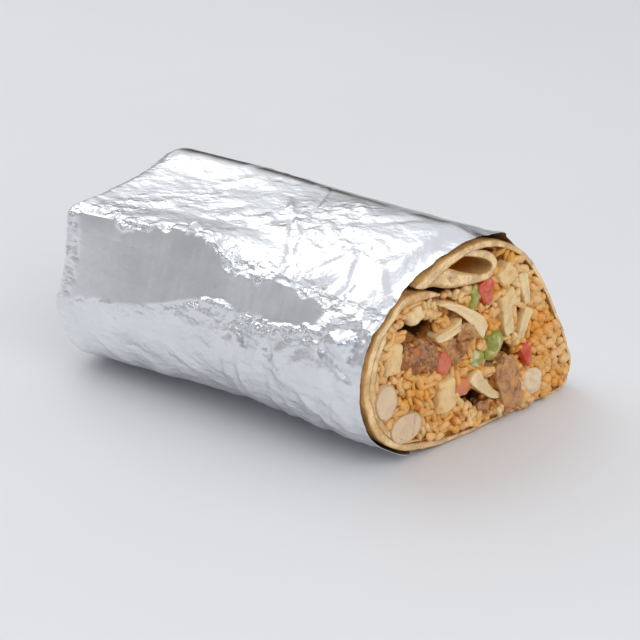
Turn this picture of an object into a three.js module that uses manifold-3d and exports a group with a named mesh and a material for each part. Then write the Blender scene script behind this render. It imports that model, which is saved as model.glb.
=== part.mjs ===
// A foil-wrapped half burrito, lying on its side with the cut face at +X.
// Millimetres, +Z up. The burrito's axis runs along X, its folded end at -X.
import * as THREE from 'three';
import { mergeVertices } from 'three/addons/utils/BufferGeometryUtils.js';
import Module from 'manifold-3d';

const wasm = await Module();
wasm.setup();

// ---- Driving dimensions -------------------------------------------------

const CUT_X = 54;                                    // cut face on the axis
const CUT_SLOPE = Math.tan(THREE.MathUtils.degToRad(9)); // the knife went through 9 degrees askew
const FOIL_END_X = -63.5;                            // outside of the folded end, before its pleats
const END_ROUNDING = 6;                              // how far the folded end takes to close
const BODY_END_X = FOIL_END_X + END_ROUNDING;        // last full section
const GAP = 0.3;                                     // air between neighbouring pieces
const FOIL_WALL = 0.7;                               // foil and the air crumpled into it
const FOIL_GAP = 0.5;                                // between the tortilla and its foil
const FOIL_CLEARANCE = FOIL_WALL + FOIL_GAP;
const SLIVER = 0.07;                                 // detail that a cut may lose
const AXIS = { y: 1, z: 27 };                        // middle of the section
const AROUND = 48;                                   // facets around a section
const FOIL_STEPS = 28;                               // facets along the foil
const INNER_STATIONS = [1, 0.82, 0.62, 0.42, 0.22, 0]; // sections of everything inside the foil

// Outer outline of the tortilla at the cut and at the folded end: [y, z], from the
// middle of the underside round the near side, over the top and down the far side.
// The burrito is domed at the cut and boxy where the end is folded in.
const BASE_Z = FOIL_CLEARANCE;
const CUT_OUTLINE = [
    [4, BASE_Z], [-14, 1.9], [-28, 5.3], [-36.2, 13], [-40.3, 27], [-37.3, 38], [-28.8, 47],
    [-16.3, 53.6], [1.5, 56.6], [13.5, 53], [23.8, 44.8], [32.8, 31], [40, 17], [43.4, 6.5],
    [40.5, 1.6], [26, BASE_Z],
];
const END_OUTLINE = [
    [5, BASE_Z], [-8, 1.5], [-22.5, 2.9], [-35, 9], [-39.2, 22.5], [-38.8, 38], [-36.6, 49.4],
    [-22, 50.4], [-3, 52], [12, 54.5], [23.5, 46], [32.5, 32.5], [38, 18], [39.5, 7],
    [36, 1.8], [22, BASE_Z],
];

// How far half-way along the near underside is drawn in from a straight run between the
// two outlines: [number of the point, dy, dz].
const NEAR_TUCK = [[1, 1.7, 0], [2, 3.3, 0.8], [3, 1.4, 1.4]];

const COLOURS = {
    foil: 0xd4d5d8, tortilla: 0xe2c9a0, rice: 0xe3a35c, bean: 0xeadcc2, potato: 0xecd598,
    onion: 0xe2cfa4, meat: 0x9c6a44, tomato: 0xcc4433, pepper: 0x8d9b3a, cheese: 0xeee6d8,
};

// ---- Small tools --------------------------------------------------------

// Repeatable random numbers from 0 to 1.
function seeded(seed) {
    let state = seed;
    return function next() {
        state = (state + 0x6d2b79f5) | 0;
        let t = Math.imul(state ^ (state >>> 15), 1 | state);
        t = (t + Math.imul(t ^ (t >>> 7), 61 | t)) ^ t;
        return ((t ^ (t >>> 14)) >>> 0) / 4294967296;
    };
}

// Random value from 0 to 1 that belongs to one cell of a lattice.
function cellValue(i, j, k) {
    return seeded(i * 73856093 ^ j * 19349663 ^ k * 83492791)();
}

// Smooth noise from 0 to 1 over a plane.
function noise(u, v, layer) {
    const i = Math.floor(u);
    const j = Math.floor(v);
    const fu = THREE.MathUtils.smoothstep(u - i, 0, 1);
    const fv = THREE.MathUtils.smoothstep(v - j, 0, 1);
    const low = THREE.MathUtils.lerp(cellValue(i, j, layer), cellValue(i + 1, j, layer), fu);
    const high = THREE.MathUtils.lerp(cellValue(i, j + 1, layer), cellValue(i + 1, j + 1, layer), fu);
    return THREE.MathUtils.lerp(low, high, fv);
}

function finish(geometry, colour, roughness, metalness, name) {
    const material = new THREE.MeshStandardMaterial({ color: colour, roughness, metalness });
    const mesh = new THREE.Mesh(geometry, material);
    mesh.name = name;
    return mesh;
}

// ---- Solids -------------------------------------------------------------

function toSolid(geometry) {
    const bare = geometry.clone();
    bare.deleteAttribute('normal');
    bare.deleteAttribute('uv');
    const merged = mergeVertices(bare, 1e-4);
    return new wasm.Manifold(new wasm.Mesh({
        numProp: 3,
        vertProperties: new Float32Array(merged.attributes.position.array),
        triVerts: new Uint32Array(merged.index.array),
    }));
}

// The largest body of a solid, as a geometry: crumbs that a cut leaves are dropped.
function toGeometry(solid) {
    const bodies = solid.simplify(SLIVER).decompose();
    const largest = bodies.reduce((a, b) => (b.volume() > a.volume() ? b : a));
    const mesh = largest.getMesh();
    const geometry = new THREE.BufferGeometry();
    geometry.setAttribute('position', new THREE.BufferAttribute(mesh.vertProperties, 3));
    geometry.setIndex(new THREE.BufferAttribute(mesh.triVerts, 1));
    return geometry;
}

// A closed skin over a row of rings with the same number of points, drawn to a point
// at both ends.
function skin(startPole, rings, endPole) {
    const count = rings[0].length;
    const points = [startPole, ...rings.flat(), endPole];
    const index = [];
    for (let k = 0; k < count; k++) {
        const next = (k + 1) % count;
        index.push(0, 1 + next, 1 + k);
        for (let r = 0; r + 1 < rings.length; r++) {
            const a = 1 + r * count + k;
            const b = 1 + r * count + next;
            index.push(a, b, b + count, a, b + count, a + count);
        }
        const last = 1 + (rings.length - 1) * count;
        index.push(last + k, last + next, points.length - 1);
    }
    const geometry = new THREE.BufferGeometry().setFromPoints(points);
    geometry.setIndex(index);
    return facingOut(geometry);
}

// Turns the faces over if they enclose a negative volume.
function facingOut(geometry) {
    const position = geometry.attributes.position;
    const index = Array.from(geometry.index.array);
    const corner = [new THREE.Vector3(), new THREE.Vector3(), new THREE.Vector3()];
    let volume = 0;
    for (let t = 0; t < index.length; t += 3) {
        corner.forEach((c, n) => c.fromBufferAttribute(position, index[t + n]));
        volume += corner[0].dot(corner[1].clone().cross(corner[2]));
    }
    if (volume < 0) {
        for (let t = 0; t < index.length; t += 3) {
            [index[t + 1], index[t + 2]] = [index[t + 2], index[t + 1]];
        }
        geometry.setIndex(index);
    }
    return geometry;
}

// ---- The burrito's sections ---------------------------------------------

const BLEND_START = 0.1;            // stations between which the boxy section turns domed
const BLEND_END = 0.95;
const END_TURNS = [0.35, 0.7, 1];   // parts of a quarter turn by which the end closes
const END_DRAWN_IN = 0.26;          // how much narrower the flat of the end is
const END_RINGS = [0.5, 0.25];      // sizes of the rings on the flat of the end
const END_MIDDLE = { y: -7, z: 17 }; // what the end is drawn in towards

// Section outline at a station: 1 is the cut, 0 is where the folded end starts to close.
function outline(station) {
    const blend = THREE.MathUtils.smoothstep(station, BLEND_START, BLEND_END);
    const knots = CUT_OUTLINE.map(([y, z], n) => new THREE.Vector3(
        0,
        THREE.MathUtils.lerp(END_OUTLINE[n][0], y, blend),
        THREE.MathUtils.lerp(END_OUTLINE[n][1], z, blend),
    ));
    NEAR_TUCK.forEach(([n, dy, dz]) => {
        knots[n].add(new THREE.Vector3(0, dy, dz).multiplyScalar(Math.sin(Math.PI * station)));
    });
    const curve = new THREE.CatmullRomCurve3(knots, true, 'centripetal');
    return curve.getSpacedPoints(AROUND).slice(0, AROUND);
}

// The outline moved outwards by a distance that may differ around it.
function offsetOutline(points, distance) {
    return points.map((point, n) => {
        const before = points[(n + AROUND - 1) % AROUND];
        const after = points[(n + 1) % AROUND];
        const along = after.clone().sub(before).normalize();
        const outwards = new THREE.Vector3(0, -along.z, along.y);
        if (outwards.y * (point.y - AXIS.y) + outwards.z * (point.z - AXIS.z) < 0) {
            outwards.negate();
        }
        return point.clone().addScaledVector(outwards, distance(point, n));
    });
}

// Where the plane of the cut lies along X.
function cutX(y) {
    return CUT_X + CUT_SLOPE * y;
}

// A section moved outwards. Sections lean with the cut at the front, where they may stop
// short of it, and stand square at the folded end.
function ringAt(station, distance, recess = () => 0) {
    return offsetOutline(outline(station), distance).map((p, n) => {
        p.x = THREE.MathUtils.lerp(BODY_END_X, cutX(p.y) - recess(p, n), station);
        return p;
    });
}

// Rings that draw the last section in to a blunt end, from the wall to the pole.
function endRings(lastRing, endX) {
    const turned = END_TURNS.map((turn) => {
        const angle = turn * Math.PI / 2;
        const size = 1 - END_DRAWN_IN * (1 - Math.cos(angle));
        const x = THREE.MathUtils.lerp(BODY_END_X, endX, Math.sin(angle));
        return shrunkRing(lastRing, size, x, END_MIDDLE);
    });
    return [...turned, ...END_RINGS.map((size) => shrunkRing(lastRing, size, endX, END_MIDDLE))];
}

function endPole(endX) {
    return new THREE.Vector3(endX, END_MIDDLE.y, END_MIDDLE.z);
}

function facePole(x) {
    return new THREE.Vector3(x, AXIS.y, AXIS.z);
}

function shrunkRing(ring, scale, x, middle = AXIS) {
    return ring.map((p) => new THREE.Vector3(
        x,
        middle.y + (p.y - middle.y) * scale,
        middle.z + (p.z - middle.z) * scale,
    ));
}

// ---- Foil ---------------------------------------------------------------

const CRUMPLE = {
    broad: 1.5,           // height and size of the broad dents
    broadSize: 15,
    fine: 0.8,            // height of the small creases
    facet: 5,             // length of a facet around the section
    clearOfFloor: 7,      // the underside is smooth up to this height
    tightFrom: 8,         // the sheet hugs the tortilla from here to the cut
    tightTo: 3,
    slack: 0.3,
};
const RIDGE = { y: 11, height: 1, width: 2.2 };  // the sheet's folded seam along the top
const FOIL_EDGE = { nearRecess: 0.4, farRecess: 2.4, farFrom: 8, farTo: 30, ragged: 0.7 };
const FLAP = { lift: 1, width: 5, from: 0.9 };   // free end of the sheet at the top of the cut
const FLOOR_SNAP = 0.45;                         // what is this low lies flat on the floor
const PLEATS = { count: 5, depth: 0.6, ragged: 0.4 };
// How far the folded end stands out at heights [z, out]: the low flap was folded up last.
const END_PROFILE = [[0, 2.9], [22, 1.6], [28, 0]];

function bump(distance, width) {
    return Math.exp(-((distance / width) ** 2));
}

function endProfile(z) {
    const next = END_PROFILE.findIndex(([height]) => height > z);
    if (next < 1) {
        return next === 0 ? END_PROFILE[0][1] : END_PROFILE.at(-1)[1];
    }
    const [[low, from], [high, to]] = [END_PROFILE[next - 1], END_PROFILE[next]];
    return THREE.MathUtils.mapLinear(z, low, high, from, to);
}

// Height of the crumpled foil over its smooth skin.
function crumple(point, around) {
    const u = point.x / CRUMPLE.broadSize;
    const v = around * CRUMPLE.facet / CRUMPLE.broadSize;
    const broad = Math.abs(noise(u, v, 1) * 2 - 1) * CRUMPLE.broad;
    const fine = cellValue(Math.round(point.x), around, 2) * CRUMPLE.fine;
    const ridge = point.z > AXIS.z ? RIDGE.height * bump(point.y - RIDGE.y, RIDGE.width) : 0;
    const offFloor = THREE.MathUtils.smoothstep(point.z, BASE_Z, BASE_Z + CRUMPLE.clearOfFloor);
    const tight = THREE.MathUtils.smoothstep(point.x, CUT_X - CRUMPLE.tightFrom, CUT_X - CRUMPLE.tightTo);
    return (broad + fine + ridge) * offFloor * THREE.MathUtils.lerp(1, CRUMPLE.slack, tight);
}

// The foil stops just short of the cut, further back on the far side, with a torn edge.
function foilRecess(point, around) {
    const far = THREE.MathUtils.smoothstep(point.y, FOIL_EDGE.farFrom, FOIL_EDGE.farTo);
    const recess = THREE.MathUtils.lerp(FOIL_EDGE.nearRecess, FOIL_EDGE.farRecess, far);
    return recess + cellValue(around, 7, 3) * FOIL_EDGE.ragged;
}

// The free end of the sheet stands off the top just behind the cut.
function foilLift(station, point) {
    const nearCut = THREE.MathUtils.smoothstep(station, FLAP.from, 1);
    return point.z > AXIS.z ? nearCut * FLAP.lift * bump(point.y - RIDGE.y, FLAP.width) : 0;
}

// Lays what is low enough flat on the floor.
function settle(ring) {
    ring.forEach((p) => {
        p.z = p.z < FLOOR_SNAP ? 0 : p.z;
    });
    return ring;
}

function foilOuterRing(station) {
    const smooth = ringAt(station, () => FOIL_CLEARANCE, foilRecess);
    const height = (p, n) => FOIL_CLEARANCE + crumple(smooth[n], n) + foilLift(station, p);
    return settle(ringAt(station, height, foilRecess));
}

// The folded end, where the sheet is gathered into soft pleats.
function foilOuterEnd(lastRing) {
    return endRings(lastRing, FOIL_END_X).map((ring, number) => {
        const onFlat = number >= END_TURNS.length - 1;
        ring.forEach((p, n) => {
            const fold = Math.abs(Math.sin(n * Math.PI * PLEATS.count / AROUND));
            const out = endProfile(p.z) + PLEATS.depth * fold + PLEATS.ragged * cellValue(n, 5, 4);
            p.x -= onFlat ? out : 0;
        });
        return settle(ring);
    });
}

function makeFoil() {
    const outer = [];
    for (let step = 0; step <= FOIL_STEPS; step++) {
        outer.push(foilOuterRing(step / FOIL_STEPS));
    }
    const inner = INNER_STATIONS.map((station) => (
        ringAt(station, (p) => FOIL_GAP + foilLift(station, p), foilRecess)
    ));
    const innerEndX = FOIL_END_X + FOIL_WALL;
    const innerEnd = endRings(inner.at(-1), innerEndX);
    const rings = [...foilOuterEnd(outer[0]).reverse(), ...outer, ...inner, ...innerEnd];
    const geometry = skin(endPole(FOIL_END_X - endProfile(END_MIDDLE.z)), rings, endPole(innerEndX));
    return finish(geometry, COLOURS.foil, 0.28, 1, 'foil');
}

// ---- Tortilla -----------------------------------------------------------

// Thickness of the tortilla: one layer, and two where it overlaps on the near side.
const WALL = { thin: 1.6, doubled: 4.5, doubledAngle: 160, spread: 1.5, end: 2.7 };
const TORTILLA_END_X = FOIL_END_X + FOIL_CLEARANCE;
const FILLING_END_X = TORTILLA_END_X + WALL.end + GAP;

// The edge of the tortilla turned in along the top: outline of the turned-in lump,
// the loop left open inside it, and the slit where it meets the near wall.
const FOLD_OUTLINE = [
    [-27.5, 48.4], [-21, 47.2], [-13, 45.4], [-4, 44.9], [5, 44.4], [8.8, 45.9], [9.6, 48.2],
    [7.6, 51.2], [4, 54.6], [-8, 54.8], [-20, 51.4],
];
const FOLD_BACK_X = 8;
const FOLD_FACETS = 26;
const LOOP = { y: -1.2, z: 51.1, long: 6.2, short: 1.9, tilt: -22, depth: 30, facets: 16 };
const SLIT_OUTLINE = [[-30.5, 53.2], [-28.4, 55.2], [-13.2, 46.35], [-12.8, 45.7]];
const SLIT_DEPTH = 9;
const PAST_CUT = 2;    // a cutting tool runs on this far in front of the face

function wallAt(point) {
    const angle = Math.atan2(point.z - AXIS.z, point.y - AXIS.y);
    const away = angle - THREE.MathUtils.degToRad(WALL.doubledAngle);
    const overlap = Math.max(0, Math.cos(away)) ** WALL.spread;
    return THREE.MathUtils.lerp(WALL.thin, WALL.doubled, overlap);
}

// A solid with a flat outline in the section, from a back that gives X at each Y to a
// front parallel to the cut and ahead of it by a distance.
function prism(outlinePoints, back, ahead) {
    const shape = new THREE.Shape(outlinePoints);
    const geometry = new THREE.ExtrudeGeometry(shape, { depth: 1, bevelEnabled: false });
    const position = geometry.attributes.position;
    for (let n = 0; n < position.count; n++) {
        const y = position.getX(n);
        const x = position.getZ(n) > 0.5 ? cutX(y) + ahead : back(y);
        position.setXYZ(n, x, y, position.getY(n));
    }
    return toSolid(geometry);
}

function flatPoints(pairs) {
    return pairs.map(([y, z]) => new THREE.Vector2(y, z));
}

// The turned-in lump, grown on every side.
function foldLump(grow) {
    const knots = flatPoints(FOLD_OUTLINE);
    const middle = knots.reduce((sum, p) => sum.add(p), new THREE.Vector2()).divideScalar(knots.length);
    const grown = knots.map((p) => p.clone().addScaledVector(p.clone().sub(middle).normalize(), grow));
    const curve = new THREE.SplineCurve([...grown, grown[0]]);
    return prism(curve.getSpacedPoints(FOLD_FACETS).slice(1), () => FOLD_BACK_X, 0);
}

function loopHole() {
    const tilt = THREE.MathUtils.degToRad(LOOP.tilt);
    const curve = new THREE.EllipseCurve(LOOP.y, LOOP.z, LOOP.long, LOOP.short, 0, 2 * Math.PI, false, tilt);
    return prism(curve.getSpacedPoints(LOOP.facets).slice(1), () => CUT_X - LOOP.depth, PAST_CUT);
}

function makeTortilla() {
    const innerEndX = TORTILLA_END_X + WALL.end;
    const outer = INNER_STATIONS.map((station) => ringAt(station, () => 0));
    const inner = INNER_STATIONS.map((station) => ringAt(station, (p) => -wallAt(p)));
    const outerEnd = endRings(outer.at(-1), TORTILLA_END_X);
    const rings = [...outerEnd.reverse(), ...outer.reverse(), ...inner, ...endRings(inner.at(-1), innerEndX)];
    const shell = toSolid(skin(endPole(TORTILLA_END_X), rings, endPole(innerEndX)));
    const slit = prism(flatPoints(SLIT_OUTLINE), () => CUT_X - SLIT_DEPTH, PAST_CUT);
    const solid = shell.add(foldLump(0)).subtract(loopHole()).subtract(slit);
    return finish(toGeometry(solid), COLOURS.tortilla, 0.8, 0, 'tortilla');
}

// ---- Pieces in the filling ----------------------------------------------

// Each piece that shows at the cut: its place [y, z] on the face, its width, height and
// depth, how far it stands ahead of the face, and its turn on the face in degrees.
const PIECES = [
    { name: 'bean_upper', form: bean, at: [-31.5, 20.6], size: [8, 10.6, 9], ahead: 0.4, turn: 8 },
    { name: 'bean_lower', form: bean, at: [-23.8, 11], size: [12.2, 9.4, 9], ahead: 0.6, turn: -4 },
    { name: 'potato_left', form: chunk, at: [-30, 32.4], size: [5.4, 9, 9], ahead: 0.3, turn: -6 },
    { name: 'potato_middle', form: chunk, at: [-9.2, 14.8], size: [7, 10.4, 10], ahead: 1.6, turn: 2 },
    { name: 'meat_left', form: shred, at: [-18.2, 28.6], size: [13.6, 8.6, 10], ahead: -1.6, turn: -14 },
    { name: 'tomato_left', form: chunk, at: [-11.4, 25.4], size: [6.6, 6.4, 6], ahead: -0.6, turn: -30 },
    { name: 'meat_middle', form: shred, at: [-4.4, 27], size: [11.6, 8.4, 9], ahead: -1, turn: 10 },
    { name: 'onion_left', form: strip, at: [-9, 33.2], size: [12.4, 3.4, 5], ahead: 0.2, turn: 20 },
    { name: 'meat_upper', form: shred, at: [-0.8, 32.8], size: [7.2, 6.4, 8], ahead: -0.4, turn: 40 },
    { name: 'onion_long', form: strip, at: [-3.4, 37.4], size: [22, 5.6, 4], ahead: 1.4, turn: -34, bow: 4.6 },
    { name: 'onion_corner', form: chunk, at: [-21.3, 41.6], size: [6.8, 5.2, 6], ahead: -0.6, turn: 24 },
    { name: 'pepper_top', form: pod, at: [1.8, 40.8], size: [5, 7, 6], ahead: -1, turn: 15 },
    { name: 'tomato_top', form: chunk, at: [7.2, 40.1], size: [5.8, 8, 6], ahead: 0.4, turn: 24 },
    { name: 'pepper_middle', form: pod, at: [10, 23.6], size: [7, 8.8, 7], ahead: 0.4, turn: -10 },
    { name: 'pepper_left', form: pod, at: [3.8, 21.6], size: [5.6, 6, 6], ahead: -0.4, turn: 0 },
    { name: 'onion_wedge', form: strip, at: [6.2, 13.4], size: [14.6, 6, 4], ahead: 0.8, turn: -46, bow: -1.2 },
    { name: 'tomato_low', form: chunk, at: [-1.9, 14.8], size: [5.8, 5.6, 6], ahead: -1.2, turn: -20 },
    { name: 'meat_right', form: slab, at: [15.6, 9.8], size: [9.8, 19, 8], ahead: 3.4, turn: 12 },
    { name: 'meat_low', form: shred, at: [7.6, 5.3], size: [8.4, 4.6, 7], ahead: -0.4, turn: 16 },
    { name: 'cheese_right', form: chunk, at: [27.2, 7.4], size: [9.2, 8.8, 9], ahead: 1.4, turn: -8 },
    { name: 'tomato_right', form: chunk, at: [23.3, 17.2], size: [5.6, 8, 6], ahead: 0.4, turn: 12 },
    { name: 'onion_right', form: strip, at: [21.2, 26.8], size: [9.2, 4.4, 5], ahead: 0.6, turn: 84 },
    { name: 'onion_centre', form: strip, at: [15, 29.8], size: [8.6, 4.4, 5], ahead: 0.6, turn: 100 },
    { name: 'potato_right', form: chunk, at: [13, 36.6], size: [5.8, 6, 6], ahead: 0, turn: 30 },
    { name: 'potato_top', form: chunk, at: [13.6, 44], size: [5.4, 5.6, 6], ahead: 0.2, turn: 35 },
    { name: 'onion_top', form: strip, at: [21.6, 37.4], size: [11.4, 4, 5], ahead: 0, turn: 108 },
];

const PIECE_LOOKS = [
    ['bean', COLOURS.bean, 0.6], ['potato', COLOURS.potato, 0.55], ['meat', COLOURS.meat, 0.6],
    ['tomato', COLOURS.tomato, 0.3], ['onion', COLOURS.onion, 0.4], ['pepper', COLOURS.pepper, 0.35],
    ['cheese', COLOURS.cheese, 0.6],
];

// The forms below fill a box of size 1 about the origin: X runs along the burrito, Y
// across the face, Z up it. A form is then stretched to the size of its piece.
const BEAN = { radius: 0.62, cut: 0.36, squash: 0.86 };
const CHUNK = { size: 1.08, uneven: 0.1, rounding: 0.14 };
const SLAB = { uneven: 0.09, rounding: 0.12 };
const SHRED = { radius: 0.56, uneven: 0.17 };
const POD = { radius: 0.55, uneven: 0.07 };
const STRIP = { narrowEnd: 0.6, facets: 6, uneven: 0.06 };
const CORNER = { from: 0.6, full: 0.87 };    // how far out the drawing-in of corners starts and ends

// A broad bean cut through: round behind, flat in front.
function bean() {
    const geometry = new THREE.SphereGeometry(BEAN.radius, 10, 6);
    const position = geometry.attributes.position;
    for (let n = 0; n < position.count; n++) {
        position.setX(n, Math.min(position.getX(n), BEAN.cut));
    }
    const middle = (BEAN.radius - BEAN.cut) / 2;
    return geometry.translate(middle, 0, 0).scale(1, BEAN.squash, BEAN.squash);
}

// A diced cube with worn, uneven corners.
function chunk(random) {
    const box = new THREE.BoxGeometry(CHUNK.size, CHUNK.size, CHUNK.size, 2, 2, 2);
    return uneven(box, random, CHUNK.uneven, CHUNK.rounding);
}

// A slab of meat cut across the grain.
function slab(random) {
    return uneven(new THREE.BoxGeometry(1, 1, 1, 2, 2, 5), random, SLAB.uneven, SLAB.rounding);
}

// A torn, crumbly lump of meat.
function shred(random) {
    return uneven(new THREE.IcosahedronGeometry(SHRED.radius, 1), random, SHRED.uneven, 0);
}

// A rounded piece of green pepper.
function pod(random) {
    return uneven(new THREE.IcosahedronGeometry(POD.radius, 1), random, POD.uneven, 0);
}

// A thin strip, narrower at one end.
function strip(random) {
    const geometry = new THREE.BoxGeometry(1, 1, 1, 1, STRIP.facets, 1);
    const position = geometry.attributes.position;
    for (let n = 0; n < position.count; n++) {
        const width = THREE.MathUtils.lerp(STRIP.narrowEnd, 1, position.getY(n) + 0.5);
        position.setZ(n, position.getZ(n) * width);
    }
    return uneven(geometry, random, STRIP.uneven, 0);
}

// Draws the corners of a form in, and moves its shared vertices at random.
function uneven(geometry, random, amount, rounding) {
    geometry.deleteAttribute('normal');
    geometry.deleteAttribute('uv');
    const merged = mergeVertices(geometry, 1e-4);
    const position = merged.attributes.position;
    const point = new THREE.Vector3();
    for (let n = 0; n < position.count; n++) {
        point.fromBufferAttribute(position, n);
        const corner = Math.max(0, point.length() - CORNER.from) / (CORNER.full - CORNER.from);
        point.multiplyScalar(1 - rounding * corner);
        point.x += (random() - 0.5) * amount;
        point.y += (random() - 0.5) * amount;
        point.z += (random() - 0.5) * amount;
        position.setXYZ(n, point.x, point.y, point.z);
    }
    return merged;
}

// A piece set in place on the face and grown on every side.
function pieceSolid(piece, number, grow) {
    return setInPlace(piece.form(seeded(101 + number)), piece, grow);
}

// The hollow that the rice leaves for a piece: a plain eight-sided or square one that the
// piece fits into, or the piece's own form where it is bowed.
function pocketSolid(piece, number) {
    if (piece.bow) {
        return pieceSolid(piece, number, GAP);
    }
    const form = piece.form(seeded(101 + number));
    form.computeBoundingBox();
    const size = form.boundingBox.getSize(new THREE.Vector3());
    const middle = form.boundingBox.getCenter(new THREE.Vector3());
    let pocket = new THREE.BoxGeometry(size.x, size.y, size.z);
    if ([bean, shred, pod].includes(piece.form)) {
        const halfSide = Math.PI / 8;
        const radius = reachFromAxis(form, middle, size) / Math.cos(halfSide);
        pocket = new THREE.CylinderGeometry(radius, radius, 1, 8).rotateZ(Math.PI / 2).rotateX(halfSide);
        pocket.scale(size.x, size.y, size.z);
    }
    return setInPlace(pocket.translate(middle.x, middle.y, middle.z), piece, GAP);
}

// How far a form reaches from its middle across the face, for a size of 1.
function reachFromAxis(form, middle, size) {
    const position = form.attributes.position;
    let reach = 0;
    for (let n = 0; n < position.count; n++) {
        const across = (position.getY(n) - middle.y) / size.y;
        const up = (position.getZ(n) - middle.z) / size.z;
        reach = Math.max(reach, Math.hypot(across, up));
    }
    return reach;
}

// Stretches a form to its piece's size, bows it, and turns and moves it to its place.
function setInPlace(geometry, piece, grow) {
    const [width, height, depth] = piece.size;
    geometry.scale(depth + 2 * grow, width + 2 * grow, height + 2 * grow);
    if (piece.bow) {
        const position = geometry.attributes.position;
        for (let n = 0; n < position.count; n++) {
            const along = position.getY(n) / width * 2;
            position.setZ(n, position.getZ(n) + piece.bow * (0.5 - along * along));
        }
    }
    const [y, z] = piece.at;
    geometry.rotateX(THREE.MathUtils.degToRad(piece.turn));
    geometry.rotateZ(-Math.atan(CUT_SLOPE));
    geometry.translate(cutX(y) + piece.ahead - depth / 2, y, z);
    return toSolid(geometry);
}

const ROOM = { clearance: 2 * GAP, pastCut: 6, mouthRing: 0.5 };
const AHEAD = { near: -45, far: 48, top: 60, depth: 8 };

// The room inside the tortilla, running on past the cut, clear of the turned-in edge.
function fillingRoom() {
    const rings = INNER_STATIONS.map((station) => ringAt(station, (p) => -wallAt(p) - ROOM.clearance));
    const mouthX = CUT_X + ROOM.pastCut;
    const mouth = rings[0].map((p) => p.clone().setX(p.x + ROOM.pastCut));
    const front = [shrunkRing(mouth, ROOM.mouthRing, mouthX), mouth];
    const back = endRings(rings.at(-1), FILLING_END_X);
    const room = toSolid(skin(facePole(mouthX), [...front, ...rings, ...back], endPole(FILLING_END_X)));
    return room.subtract(foldLump(GAP));
}

// The space ahead of the cut, where a piece may hang over the tortilla's edge.
function spaceAhead() {
    const corners = [[AHEAD.near, GAP], [AHEAD.far, GAP], [AHEAD.far, AHEAD.top], [AHEAD.near, AHEAD.top]];
    return prism(flatPoints(corners), (y) => cutX(y) + GAP, AHEAD.depth);
}

// The pieces, each cut clear of those before it and of the tortilla.
function makePieces(room) {
    const allowed = room.add(spaceAhead());
    const placed = [];
    return PIECES.map((piece, number) => {
        const solid = placed.reduce(
            (rest, other) => rest.subtract(other),
            pieceSolid(piece, number, 0).intersect(allowed),
        );
        placed.push(pieceSolid(piece, number, GAP));
        const [, colour, roughness] = PIECE_LOOKS.find(([kind]) => piece.name.startsWith(kind));
        return finish(toGeometry(solid), colour, roughness, 0, piece.name);
    });
}

// ---- Rice ---------------------------------------------------------------

const RICE = {
    sunk: 2.1,            // how far the packed rice lies behind the cut
    bumps: 1.2,           // height and size of its unevenness
    bumpSize: 5,
    faceRings: 6,
    roughness: 0.5,
};
const GRAIN = {
    count: 84,
    tries: 4000,
    apart: 2.5,           // least distance between two grains, and to a piece
    clearOfPieces: 0.8,
    long: 6.4,
    thick: 2.5,
    shortest: 0.8,        // lengths run from this part of the full length up
    spread: 0.3,
    tip: 1.3,             // most that a grain tips out of the face, in radians
    standsOut: 0.4,
    standsOutMore: 1.4,
};
const FACE_AREA = { near: -38, far: 41, low: 3, high: 53 };

// Hollows between the pieces where the filling has fallen out: [y, z, radius, depth].
const HOLLOWS = [
    [-19, 35.8, 5.5, 6], [-25.5, 34.5, 3, 4], [9, 17.4, 3, 5], [18.5, 20, 4.5, 5], [3, 9.8, 4.5, 5],
];

// The mound of rice that stands out beside the beans: [y, z, radius, height].
const MOUND = [-20, 20.4, 7, 2.6];

// How far the packed rice stands ahead of the cut at a point of the face.
function riceFace(y, z) {
    const uneven01 = noise(y / RICE.bumpSize, z / RICE.bumpSize, 6);
    const [moundY, moundZ, moundRadius, moundHeight] = MOUND;
    const mound = moundHeight * bump(Math.hypot(y - moundY, z - moundZ), moundRadius);
    const hollows = HOLLOWS.reduce((sum, [hy, hz, radius, depth]) => (
        sum + depth * bump(Math.hypot(y - hy, z - hz), radius)
    ), 0);
    return (2 * uneven01 - 1) * RICE.bumps + mound - hollows - RICE.sunk;
}

// The core: packed rice through the whole burrito, with an uneven face at the cut.
function packedRice() {
    const distance = (p) => -wallAt(p) - ROOM.clearance;
    const rings = INNER_STATIONS.map((station) => ringAt(station, distance, () => RICE.sunk));
    const face = [];
    for (let n = 1; n <= RICE.faceRings; n++) {
        const ring = shrunkRing(rings[0], n / (RICE.faceRings + 1), 0);
        ring.forEach((p) => {
            p.x = cutX(p.y) + riceFace(p.y, p.z);
        });
        face.push(ring);
    }
    const middle = facePole(CUT_X + riceFace(AXIS.y, AXIS.z));
    const all = [...face, ...rings, ...endRings(rings.at(-1), FILLING_END_X)];
    const everySecondPoint = all.map((ring) => ring.filter((p, n) => n % 2 === 0));
    return toSolid(skin(middle, everySecondPoint, endPole(FILLING_END_X)));
}

function grainSolid(y, z, random) {
    const long = GRAIN.long * (GRAIN.shortest + GRAIN.spread * random());
    const geometry = new THREE.SphereGeometry(0.5, 5, 4).scale(GRAIN.thick, long, GRAIN.thick);
    geometry.rotateZ((random() - 0.5) * GRAIN.tip);
    geometry.rotateX(random() * Math.PI);
    const ahead = riceFace(y, z) + GRAIN.standsOut + random() * GRAIN.standsOutMore;
    geometry.translate(cutX(y) + ahead, y, z);
    return toSolid(geometry);
}

// Whether a grain may lie here: on open rice, away from the pieces and other grains.
function openRice(y, z, spots) {
    const onPiece = PIECES.some(({ at, size, turn }) => {
        const off = new THREE.Vector2(y - at[0], z - at[1]);
        off.rotateAround(new THREE.Vector2(), -THREE.MathUtils.degToRad(turn));
        return Math.abs(off.x) < size[0] / 2 + GRAIN.clearOfPieces
            && Math.abs(off.y) < size[1] / 2 + GRAIN.clearOfPieces;
    });
    return !onPiece && spots.every(([sy, sz]) => Math.hypot(y - sy, z - sz) > GRAIN.apart);
}

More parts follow.
